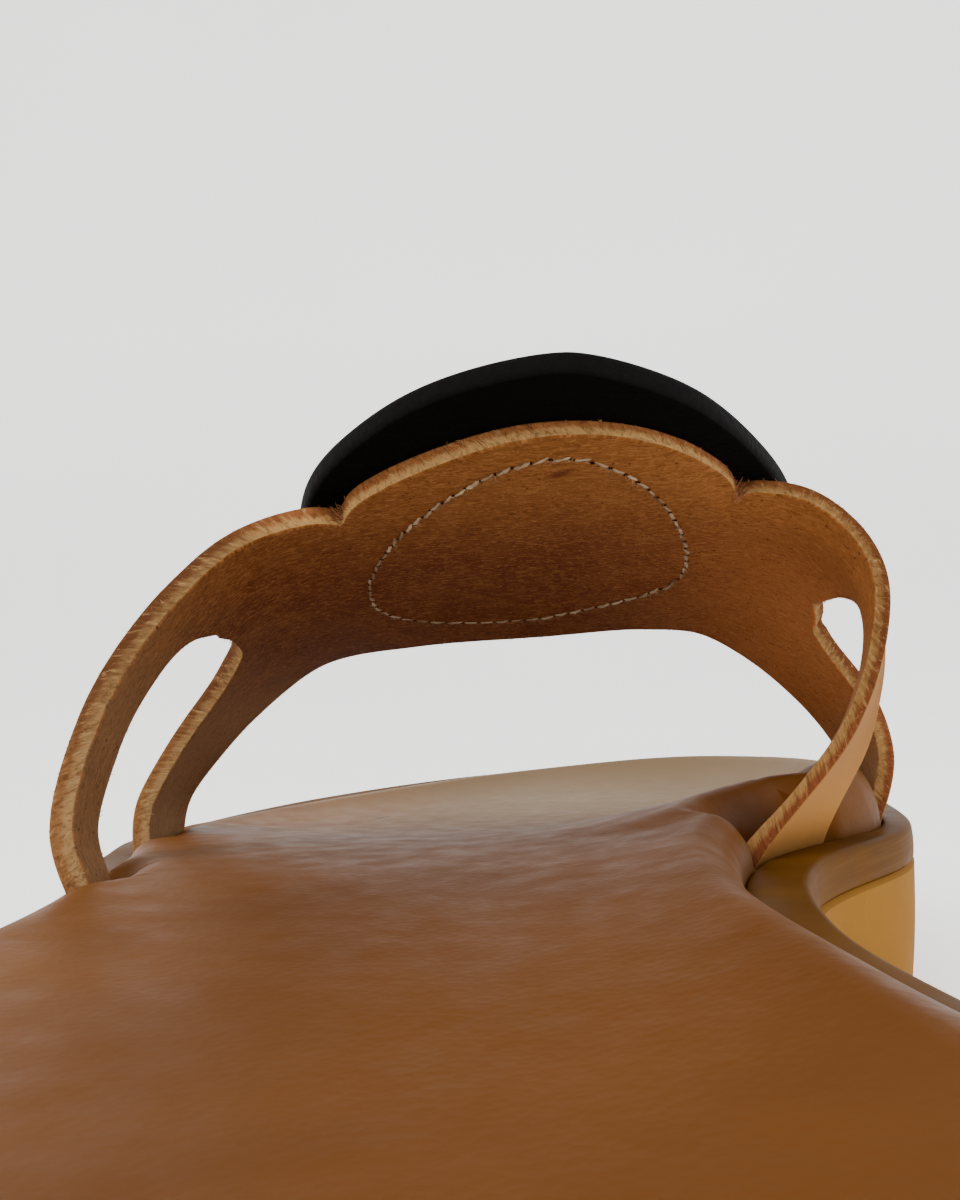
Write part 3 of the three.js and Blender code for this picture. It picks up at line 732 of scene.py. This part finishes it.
# The flesh side's half, then the grain's: its colour over the crown, made paler there as painted
# light where the ornament shades the tab, then on the outer and on the inner legs where they are
# low and where they are high.
halves = []
for crown_code, outer_codes, inner_codes in (
        ("#cb9d62", ("#a9865a", "#86643f"), ("#ab7f4a", "#8c6639")),
        ("#a4673b", ("#93663e", "#684127"), ("#864c2c", "#6c3f22"))):
    half = linear(crown_code)
    for side, (low, high) in ((outer_side, outer_codes), (inner_side, inner_codes)):
        leg = add(fibres, "Mix", {0: high_on_leg, 6: linear(low), 7: linear(high)}, data_type="RGBA")
        laid = add(fibres, "Mix", {0: side, 6: half, 7: leg.outputs[2]}, data_type="RGBA")
        half = laid.outputs[2]
    halves.append(half)
both = add(fibres, "Mix", {0: near_grain, 6: halves[0], 7: halves[1]}, data_type="RGBA")
strands = add(fibres, "TexNoise", {
    "Vector": place, "Scale": grain_scale(0.5), "Detail": 5.0, "Roughness": 0.7, "Distortion": 0.5})
colour = both.outputs[2]
for measure, span, most, code in (
        (moved, (-0.6, -1.0), 0.6, "#b0905f"),
        (strands, (0.5, 0.66), 0.7, "#5c361e"),
        (strands, (0.44, 0.32), 0.75, "#b99563")):
    colour = laid_over(fibres, colour, measure, span, (0.0, most), code)
ragged = add(fibres, "Bump", {"Height": strands, "Strength": 0.9, "Distance": 0.0005})
feed(shader, {"Base Color": colour, "Normal": ragged})

strap = make_piece("strap_leather", points, faces, [grain, flesh, fibres], kinds, angle=60)
uv = strap.data.uv_layers.new(name="lay")
corner_points = np.zeros(len(strap.data.loops), np.int32)
strap.data.loops.foreach_get("vertex_index", corner_points)
uv.data.foreach_set("uv", lay[corner_points].astype(np.float32).ravel())
edge_place = [flat_middle[used]] * 2 + [flat_middle[rim_points]] * len(levels)
edge_place = np.concatenate(edge_place) * 0.001
for name, kind, key, values in (
        ("depth", "FLOAT", "value", depth), ("edge_place", "FLOAT_VECTOR", "vector", edge_place)):
    attribute = strap.data.attributes.new(name, kind, "POINT")
    attribute.data.foreach_set(key, values.astype(np.float32).ravel())
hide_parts("upper_strap")
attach(strap, "root")


# Footbed: an insole of cork and leather, covered in smooth brown leather that is turned down round
# its edge. It lies in the tray, cupped along the arch and the toe, and is cut back where the
# strap's legs go down between it and the rim.
lip_height = 3.8
footbed_edge = 4.0
bed_gap = 0.05
notch_spare = 3.2
notch_room = 0.5
notch_lead = 1.4
notch_blend = 1.6
mid_foot = 1.1  # the girth halfway down the strap's feet
# Eleven stations from heel to toe: the bed's height and each side's lip, in lip heights, and how
# sharply the bed cups up to its lip.
bed_rows = [-0.36, -0.38, -0.32, -0.14, 0.28, 0.73, 0.66, -0.05, -0.18, -0.36, -0.38]
lateral_lip = [0.5, 0.55, 0.55, 0.5, 0.6, 0.9, 0.8, 0.5, 0.32, 0.15, 0.42]
medial_lip = [0.5, 0.55, 0.65, 0.8, 1.05, 1.3, 1.8, 2.2, 1.75, 1.28, 0.5]
cup_rows = [2.6, 2.6, 2.6, 2.6, 2.6, 2.6, 2.4, 3.2, 5, 7, 7]
# Each leg's side, the reaches of its two edges, and how much further its notch goes behind it and
# inwards than it has to.
legs = [
    (-1, 0.0, slot_edge(outer_slot, "rear", mid_foot), 0.0, 0.4),
    (-1, slot_edge(outer_slot, "front", mid_foot), 1.0, 0.0, 0.3),
    (1, 0.0, slot_edge(inner_slot, "rear", mid_foot), notch_spare, 1.0),
    (1, slot_edge(inner_slot, "front", mid_foot), 1.0, 0.0, 0.9),
]


def footbed_inset(side, turn):
    """The footbed's distance from the sole's outline, cut back beside each leg."""
    y = inset(side, turn, wall_inset(side, turn))[1]
    depth = np.zeros_like(turn)
    for leg_side, rear, front, behind, deeper in legs:
        if leg_side != side:
            continue
        foot = side * np.array([1.0, strap_end])
        start = strap_point(foot, rear)[:, 1].min() - notch_room - behind
        end = strap_point(foot, front)[:, 1].max() + notch_room
        window = smooth((y - start + notch_lead) / notch_blend)
        window = window * smooth((end + notch_lead - y) / notch_blend)
        depth = np.maximum(depth, (strap_thickness + 2 * clearance + deeper) * window)
    return wall_inset(side, turn, bed_gap) + depth


bed_turns = mix(*wall_ends, even_shares(421, 0.0))
bed_shares = even_shares(65, 0.9)
bed_loop = np.concatenate([
    np.stack(inset(-1, bed_turns, footbed_inset(-1, bed_turns)), 1),
    np.stack(inset(1, bed_turns, footbed_inset(1, bed_turns)), 1)[::-1]])


def loop_distance(x, y, loop):
    """Each point's distance from a closed loop."""
    a, b = loop, np.roll(loop, -1, 0)
    line = b - a
    square = np.maximum((line ** 2).sum(1), 1e-9)
    best = np.full(x.shape, np.inf)
    for row in range(len(x)):
        away = np.stack([x[row], y[row]], 1)[:, None] - a
        t = np.clip((away * line).sum(2) / square, 0, 1)
        best[row] = np.sqrt((((away - t[..., None] * line) ** 2).sum(2)).min(1))
    return best


def bed_top(x, y):
    """The footbed's top: a lip rolled down at its edge, a cupped bed and a few shallow waves."""
    place = along(y)
    left = wall_across(-1, y)
    right = wall_across(1, y)
    side_share = smooth((x - left) / np.maximum(right - left, 1))
    lip = mix(through(lateral_lip, place), through(medial_lip, place), side_share) * lip_height
    bed = through(bed_rows, place) * lip_height
    distance = loop_distance(x, y, bed_loop)
    t = 1 - np.clip(distance / footbed_edge, 0, 1)
    rolled = lip * np.sqrt(np.maximum(1 - t * t, 0))
    reach = np.maximum((right - left) / 2, 4 * footbed_edge) - footbed_edge
    inwards = np.maximum(distance - footbed_edge, 0) / reach
    rise = np.maximum(0, 1 - inwards) ** through(cup_rows, place)
    waves = 0.1 * np.sin(x / 9 + 1.3 * np.sin(y / 17)) * np.sin(y / 13 + 0.7)
    inner = mix(bed, lip, rise) + waves * (1 - rise)
    return rim_top(y) + np.where(distance < footbed_edge, rolled, inner)


# Smooth box leather, waxed: satin brown with soft clouding and small pores, darker towards its
# outer side. Towards the toe it turns pale grey beige, partly wear where the toes rub its raised
# edge and partly painted sheen, with less of it on the outer side as painted shade. It has two old
# spots, and a short crease drawn as a dark line of painted shade.
bed_leather, shader = start_material("smooth waxed leather", 0.45, 0.025)
place, _, colour = clouded(bed_leather, 22, 5.0, "#613912", "#855424", Distortion=0.4)
across, forward = add(bed_leather, "SeparateXYZ", {0: place}).outputs[:2]
colour = laid_over(bed_leather, colour, across, (-0.034, -0.008), (0.0, 0.4), "#4a280b", soft=True)
# Painted sheen and wear: the toe turns pale grey beige, and shaded keeps the outer side darker as
# painted shade.
toe_wear_and_sheen_span = add(bed_leather, "MapRange", {0: forward, 1: 0.06, 2: 0.12, 3: 0.0, 4: 0.72},
              interpolation_type="SMOOTHSTEP")
shaded = add(bed_leather, "MapRange", {0: across, 1: -0.045, 2: 0.003, 3: 0.36, 4: 1.0})
toe_wear_and_sheen_share = add(bed_leather, "Math", {0: toe_wear_and_sheen_span, 1: shaded}, operation="MULTIPLY")
toe_wear_and_sheen_mix = add(bed_leather, "Mix", {
    0: toe_wear_and_sheen_share, 6: colour, 7: linear("#93826a")}, data_type="RGBA")
colour = toe_wear_and_sheen_mix.outputs[2]
# Two old spots, and the short crease as a thin dark line: painted shade, with no relief.
for x, y, turn, wide, long in (
        (-24.0, 40.5, 0.0, 0.6, 0.6), (6.7, 48.9, 0.0, 0.5, 0.5), (-24.8, 94.2, -0.4, 0.35, 5.2)):
    moved = add(bed_leather, "Mapping", {
        0: place, 1: (x * 0.001, y * 0.001, 0.0), 2: (0, 0, turn),
        3: (wide * 0.001, long * 0.001, 1.0)}, vector_type="TEXTURE")
    spot = add(bed_leather, "TexGradient", {0: moved}, gradient_type="SPHERICAL").outputs[1]
    colour = laid_over(bed_leather, colour, spot, (0.1, 0.5), (0.0, 0.85), "#2b190b")
pores = add(bed_leather, "TexVoronoi", {"Vector": place, "Scale": grain_scale(0.7)})
wrinkles = add(bed_leather, "TexNoise", {"Vector": place, "Scale": grain_scale(3.5), "Detail": 5.0})
relief = add(bed_leather, "Math", {0: pores, 1: wrinkles}, operation="ADD")
skin = add(bed_leather, "Bump", {"Height": relief, "Strength": 0.1, "Distance": 0.0002})
worn = add(bed_leather, "MapRange", {0: wrinkles, 1: 0.3, 2: 0.7, 3: 0.4, 4: 0.54})
feed(shader, {"Base Color": colour, "Roughness": worn, "Normal": skin})

top = sole_grid(footbed_inset, bed_shares, bed_top, bed_turns)
bottom = sole_grid(
    footbed_inset, bed_shares, lambda x, y: rim_top(y) - tray_depth + bed_gap, bed_turns)
rings = [border(top) - [0, 0, 0.5], border(top) - [0, 0, 1.6]]
points, faces = closed_body(top, bottom, rings)
footbed = make_piece("footbed_leather", points, faces, [bed_leather], angle=60)
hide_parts("footbed")
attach(footbed, "root")


# Ornament: an oval of black leather, cut with a knife and sewn on the strap so that it stands out
# past the tab. Its outer face is matte, and its cut edge and flesh side are stained black too.
disc_width = 54.0
disc_length = 65.0
disc_gap = 0.05
disc_thickness = 1.8 + clearance - disc_gap  # its outer face lies where the solid's does
disc_crown = 0.2
disc_fullness = 1.7
disc_offset = 4.3
disc_setback = 10.8
disc_turn = math.radians(8)


def on_strap(across, back):
    """The girth and reach so far across from the strap's middle and ahead of its rear edge line."""
    across, back = np.broadcast_arrays(np.asarray(across, float), np.asarray(back, float))
    reach = back / ruling(0.0)
    girth = np.zeros_like(across)
    steps = 16
    for _ in range(steps):
        pace = strap_point(girth + 0.01, reach) - strap_point(girth - 0.01, reach)
        girth = girth + across / steps / (np.linalg.norm(pace, axis=-1) / 0.02)
    return girth, back / ruling(girth)


def full(value):
    """A cosine or sine for an oval that is a little leaner than an ellipse between its axes."""
    return np.sign(value) * np.abs(value) ** (2 / disc_fullness)


# The disc's section, from the middle of its outer face round its edge to the middle of its
# underside: shares of its size, and how far up through its thickness each ring lies.
spokes = 240
ring_shares = np.concatenate([np.linspace(0.02, 0.9, 16), [0.94, 0.965, 0.985]])
angles = 2 * np.pi * np.arange(spokes) / spokes
edge_wobble = 1 + 0.004 * np.sin(5 * angles + 1) + 0.003 * np.sin(11 * angles)
profile = [(share, 1.0) for share in ring_shares]
profile += [(0.993, 0.97), (0.998, 0.86), (1.0, 0.7), (1.0, 0.5),
            (1.0, 0.3), (0.997, 0.12), (0.99, 0.03)]
profile += [(share, 0.0) for share in ring_shares[::-1]]
under = strap_thickness / 2 + disc_gap
shares, lifts = np.array(profile).T
wide = shares[:, None] * edge_wobble * disc_width / 2 * full(np.cos(angles))
long = shares[:, None] * edge_wobble * disc_length / 2 * full(np.sin(angles))
across = disc_offset + wide * math.cos(disc_turn) - long * math.sin(disc_turn)
back = disc_setback + wide * math.sin(disc_turn) + long * math.cos(disc_turn)
girth, reach = on_strap(across, back)
crown = np.where(lifts > 0.5, disc_crown * (1 - shares ** 6), 0.0)
height = (under + lifts * disc_thickness + crown)[:, None]
points = strap_offset(girth, reach, height).reshape(-1, 3)
faces = tube_faces(1, len(profile), spokes)
edge_first = len(ring_shares)
edge_last = len(profile) - len(ring_shares) - 1
ring_of_face = np.arange((len(profile) - 1) * spokes) // spokes
kinds = ((ring_of_face >= edge_first) & (ring_of_face <= edge_last)).astype(int).tolist() + [0, 0]

# Black leather, drum-dyed and left matte: a soft charcoal grain that hardly shines.
black, shader = start_material("matte black leather", 0.75, 0.04)
place, _, colour = clouded(black, 6, 5.0, "#030303", "#080707")
pebbles = add(black, "TexVoronoi", {"Vector": place, "Scale": grain_scale(0.9)})
skin = add(black, "Bump", {"Height": pebbles, "Strength": 0.3, "Distance": 0.0002})
feed(shader, {"Base Color": colour, "Normal": skin})

# Its cut edge, stained black: rougher, a shade lighter and browner, with streaks from the knife.
black_edge, shader = start_material("stained cut edge", 0.8, 0.08)
_, strands, colour = clouded(black_edge, 0.7, 5.0, "#030303", "#100e0d")
ragged = add(black_edge, "Bump", {"Height": strands, "Strength": 0.5, "Distance": 0.0003})
feed(shader, {"Base Color": colour, "Normal": ragged})

disc = make_piece("ornament_leather", points, faces, [black, black_edge], kinds, angle=50)
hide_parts("ornament_disc")
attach(disc, "root")


# Stitches: an egg-shaped row of waxed linen thread that holds the ornament. It shows cream and
# frayed on the strap's flesh side, with a dark awl hole at each end of a stitch, and black on the
# ornament.
stitch_pitch = 2.05
thread_radius = 0.19
stitch_centre = (2.7, 16.3)
stitch_reach = (17.8, 23.3)
stitch_turn = 0.537
stitch_taper = 0.4
face_rise = 0.15  # roughly the ornament's crown under the row, on average


def stitch_place(angle, sideways=0.0):
    """Where the row runs over the strap, and places so far to its side."""
    u = (stitch_reach[0] + sideways) * np.cos(angle)
    v = (stitch_reach[1] + sideways) * np.sin(angle) * (1 - stitch_taper * np.cos(angle))
    across = stitch_centre[0] + u * math.cos(stitch_turn) - v * math.sin(stitch_turn)
    return across, stitch_centre[1] + u * math.sin(stitch_turn) + v * math.cos(stitch_turn)


fine = np.linspace(0, 2 * np.pi, 2001)
path = np.stack(stitch_place(fine), 1)
walked = np.concatenate([[0], np.cumsum(np.linalg.norm(np.diff(path, axis=0), axis=1))])
stitch_count = int(round(walked[-1] / stitch_pitch))
hole_angles = np.interp(np.arange(stitch_count + 1) * walked[-1] / stitch_count, walked, fine)


def stitch_row(name, material, surface, outwards, seed):
    """A row of short twisted threads, each from one hole to the next, over a surface's height."""
    rng = np.random.default_rng(seed)
    around, long = 8, 11
    t = np.linspace(0, 1, long)
    angle = mix(hole_angles[:-1, None], hole_angles[1:, None], mix(0.05, 0.95, t))
    sideways = rng.normal(0, 0.08, (stitch_count, 1))
    sideways = sideways + (t - 0.5) * rng.normal(0.25, 0.2, (stitch_count, 1))
    girth, reach = on_strap(*stitch_place(angle, sideways))
    sunk = rng.uniform(0.0, 0.1, (stitch_count, 1)) + 0.07 * np.sin(2 * angle[:, :1] - 2.2)
    lift = outwards * (-0.22 - sunk + 0.34 * np.sin(np.pi * t) ** 0.35)
    base = surface(girth, reach)
    centre = strap_offset(girth, reach, base + lift)
    forward = np.gradient(centre, axis=1)
    forward /= np.linalg.norm(forward, axis=2, keepdims=True)
    up = strap_normal(girth, reach) * outwards
    up -= forward * (up * forward).sum(2, keepdims=True)
    up /= np.linalg.norm(up, axis=2, keepdims=True)
    beside = np.cross(forward, up)
    phase = 2 * np.pi * np.arange(around) / around
    twist = t[None, :, None] * 5.5 + rng.uniform(0, 6, (stitch_count, 1, 1))
    thick = 0.84 + 0.26 * np.cos(2 * (phase + twist))
    radius = thread_radius * thick * (0.85 + 0.15 * np.sin(np.pi * t))[None, :, None]
    radius = radius * rng.uniform(0.7, 1.2, (stitch_count, 1, 1))
    ring = (centre[:, :, None] + (radius * np.cos(phase))[..., None] * up[:, :, None]
            + (radius * np.sin(phase))[..., None] * beside[:, :, None])
    faces = tube_faces(stitch_count, long, around)
    return make_piece(name, ring.reshape(-1, 3), faces, [material], angle=70)


# Waxed linen thread, worn: off-white with a little grime, dull and fuzzy.
linen, shader = start_material("waxed linen thread", 0.8, 0.2)
place, _, colour = clouded(linen, 4.0, 4.0, "#6b4a2c", "#bda888", crisp=True)
strands = add(linen, "TexNoise", {"Vector": place, "Scale": grain_scale(0.18), "Detail": 2.0})
fuzzy = add(linen, "Bump", {"Height": strands, "Strength": 0.5, "Distance": 0.0001})
feed(shader, {"Base Color": colour, "Normal": fuzzy})
inner_stitches = stitch_row(
    "stitches_inside", linen, lambda girth, reach: -flesh_depth(girth, reach), -1, 3)
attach(inner_stitches, "root")

# The same thread, dyed black, on the ornament's face.
black_thread, shader = start_material("black waxed thread", 0.6, 0.25)
feed(shader, {"Base Color": clouded(black_thread, 0.2, 2.0, "#070707", "#1d1b1a")[2]})
outer_face = under + disc_thickness + face_rise
outer_stitches = stitch_row(
    "stitches_outside", black_thread, lambda girth, reach: outer_face, 1, 5)
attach(outer_stitches, "root")

# Awl holes: small dark dimples in a raised lip of leather between the stitches. Each is five
# rings with a radius and a height over the leather, and the first two bands are the lip.
hole_rings = ((0.42, -0.1), (0.34, 0.045), (0.26, 0.055), (0.19, 0.015), (0.01, 0.01))
hole_sides = 10
phase = 2 * np.pi * np.arange(hole_sides) / hole_sides
across, back = stitch_place(hole_angles[:-1])
hole_points = []
for radius, lift in hole_rings:
    girth, reach = on_strap(
        across[:, None] + radius * np.cos(phase), back[:, None] + radius * np.sin(phase))
    hole_points.append(strap_offset(girth, reach, -flesh_depth(girth, reach) - lift))
hole_points = np.stack(hole_points, 1).reshape(-1, 3)
hole_faces = tube_faces(stitch_count, len(hole_rings), hole_sides)
hole_kinds = np.repeat([0, 0, 1, 1], hole_sides).tolist() * stitch_count
hole_kinds += [0] * stitch_count + [1] * stitch_count

# The lip is brushed leather like the sheet around it.
lip, shader = start_material("raised flesh lip", 0.9, 0.05)
feed(shader, {"Base Color": clouded(lip, 2, 3.0, "#5a2c12", "#8c5628")[2]})

# The pierced middle lies in shadow, nearly black brown.
pierced, shader = start_material("pierced leather", 0.95, 0.02)
feed(shader, {"Base Color": clouded(pierced, 0.6, 3.0, "#150803", "#2c1407")[2]})
holes = make_piece("awl_holes", hole_points, hole_faces, [lip, pierced], hole_kinds)
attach(holes, "root")


# Loose fibres: the hide's own hairs along the knife-cut edges, a tuft torn loose at each nick, and
# frayed ends round the worn linen stitches.
def hairs(name, material, roots, directions, lengths, thickness, seed):
    """Many thin tapered curved hairs as one mesh."""
    rng = np.random.default_rng(seed)
    count = len(roots)
    directions = directions / np.linalg.norm(directions, axis=1, keepdims=True)
    bend = rng.normal(0, 0.45, (count, 3))
    levels = np.array([0.0, 0.4, 0.75, 1.0])
    widths = np.array([1.0, 0.9, 0.6, 0.15]) * thickness / 2
    sides = 3
    helper = np.where(np.abs(directions[:, :1]) < 0.8, [[1.0, 0, 0]], [[0, 1.0, 0]])
    u = np.cross(directions, helper)
    u /= np.linalg.norm(u, axis=1, keepdims=True)
    v = np.cross(directions, u)
    points = []
    for level, width in zip(levels, widths):
        centre = roots + lengths[:, None] * (directions * level + bend * level ** 2 * 0.5)
        for m in range(sides):
            turn = 2 * np.pi * m / sides
            points.append(centre + width * (u * math.cos(turn) + v * math.sin(turn)))
    points = np.stack(points, 1).reshape(-1, 3)
    piece = make_piece(name, points, tube_faces(count, len(levels), sides), [material], angle=80)
    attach(piece, "root")


# Loose fibres of the cut edges: pale tan to brown, dull.
loose, shader = start_material("loose hide fibres", 0.9, 0.05)
feed(shader, {"Base Color": clouded(loose, 1.5, 2.0, "#7a4c28", "#b89463", crisp=True)[2]})
rng = np.random.default_rng(21)
fibre_count = 4200
picked = rng.integers(0, len(rim_points), fibre_count)
level = rng.integers(1, len(levels), fibre_count)
roots = np.stack(level_points)[level, picked]
ways = outward[rim_points][picked] + rng.normal(0, 0.7, (fibre_count, 3))
hairs("edge_fibres", loose, roots, ways, rng.uniform(0.12, 0.45, fibre_count), 0.06, 11)

# Torn bundles of red-brown grain fibres in the two nicks.
torn, shader = start_material("torn red-brown fibres", 0.9, 0.05)
feed(shader, {"Base Color": clouded(torn, 1.0, 2.0, "#6b2a1c", "#b07a52")[2]})
tuft_count = 36
at = np.repeat([tab_from, tab_to], tuft_count)
girth = at + rng.normal(0, 0.004, 2 * tuft_count)
roots = strap_offset(girth, rear_reach(girth) + 0.004, rng.uniform(-0.9, 0.9, 2 * tuft_count))
ways = np.where(at[:, None] < 0, [[-0.8, -0.5, 0.45]], [[0.5, -0.6, 0.8]])
ways = ways + rng.normal(0, 0.2, (2 * tuft_count, 3))
hairs("nick_fibres", torn, roots, ways, rng.uniform(0.9, 2.3, 2 * tuft_count), 0.14, 13)

frays = 620
angle = rng.uniform(0, 2 * np.pi, frays)
across, back = stitch_place(angle, rng.normal(0, 0.1, frays))
girth, reach = on_strap(across, back)
roots = strap_offset(girth, reach, -flesh_depth(girth, reach) - 0.15)
ways = -strap_normal(girth, reach) * 0.8 + rng.normal(0, 1.0, (frays, 3))
hairs("stitch_fray", linen, roots, ways, rng.uniform(0.2, 0.7, frays), 0.04, 17)


# Studio: a plain pale sheet that lies under the shoe and sweeps up behind it, softly lit through
# its back, one large soft light from the left and behind the camera, and a weak fill from the
# right.
sweep_turn = np.linspace(0, np.pi / 2, 13)
sweep = [(1.2 + 0.8 * math.sin(t), 0.8 - 0.8 * math.cos(t)) for t in sweep_turn]
sweep = [(-3.0, 0.0)] + sweep + [(2.0, 4.0)]
sheet_points = [(x, y, z) for y, z in sweep for x in (-4.0, 4.0)]
sheet_faces = [(2 * k, 2 * k + 1, 2 * k + 3, 2 * k + 2) for k in range(len(sweep) - 1)]
pale_sheet, shader = start_material("matte pale paper", 0.9, 0.1)
colour = clouded(pale_sheet, 1000 / 3, 2.0, "#f1f1f0", "#f5f5f4")[2]
feed(shader, {"Base Color": colour, "Emission Color": colour, "Emission Strength": 1.1})
sheet_mesh = bpy.data.meshes.new("paper_sheet")
sheet_mesh.from_pydata(sheet_points, [], sheet_faces)
sheet_mesh.materials.append(pale_sheet)
sheet_mesh.shade_smooth()
sheet = bpy.data.objects.new("paper_sheet", sheet_mesh)
bpy.context.scene.collection.objects.link(sheet)

world = bpy.data.worlds.new("studio")
bpy.context.scene.world = world
world.use_nodes = True
feed(world.node_tree.nodes["Background"], {0: (1.0, 1.0, 1.0, 1.0), 1: 0.78})


def placed(thing, right, up, back, spot):
    """A scene object for a lamp or a camera, turned to three directions and set at a spot."""
    made = bpy.data.objects.new(thing.name, thing)
    made.matrix_world = Matrix(
        [[right[k], up[k], back[k], spot[k]] for k in range(3)] + [[0, 0, 0, 1]])
    bpy.context.scene.collection.objects.link(made)
    return made


def soft_light(name, spot, aim, size, power, colour):
    lamp = bpy.data.lights.new(name, "AREA")
    lamp.shape = "RECTANGLE"
    lamp.size, lamp.size_y = size
    lamp.energy = power
    lamp.color = linear(colour)[:3]
    away = np.array(spot, float) - np.array(aim, float)
    away /= np.linalg.norm(away)
    right = np.cross([0, 0, 1], away)
    right /= np.linalg.norm(right)
    placed(lamp, right, np.cross(away, right), away, spot)


soft_light("key", (-0.55, -0.75, 0.75), (0.0, 0.03, 0.04), (0.6, 0.6), 9.0, "#fff4e6")
soft_light("fill", (0.8, -0.3, 0.45), (0.0, 0.03, 0.04), (0.5, 0.5), 2.0, "#eef3ff")

# Camera: just above the heel seat, looking forward through the strap's arch and a little up.
yaw, pitch, roll = (math.radians(v) for v in (-4.5, 5.3, -2.5))
forward = np.array([
    math.sin(yaw) * math.cos(pitch), math.cos(yaw) * math.cos(pitch), math.sin(pitch)])
level_right = np.array([math.cos(yaw), -math.sin(yaw), 0.0])
level_up = np.cross(level_right, forward)
right = level_right * math.cos(roll) + level_up * math.sin(roll)
up = -level_right * math.sin(roll) + level_up * math.cos(roll)
camera_data = bpy.data.cameras.new("camera")
camera_data.lens = 33.0
camera_data.sensor_width = 36.0
camera_data.sensor_fit = "AUTO"
camera_data.clip_start = 0.005
spot = (0.009025, -0.09785, 0.0416)
bpy.context.scene.camera = placed(camera_data, right, up, -forward, spot)
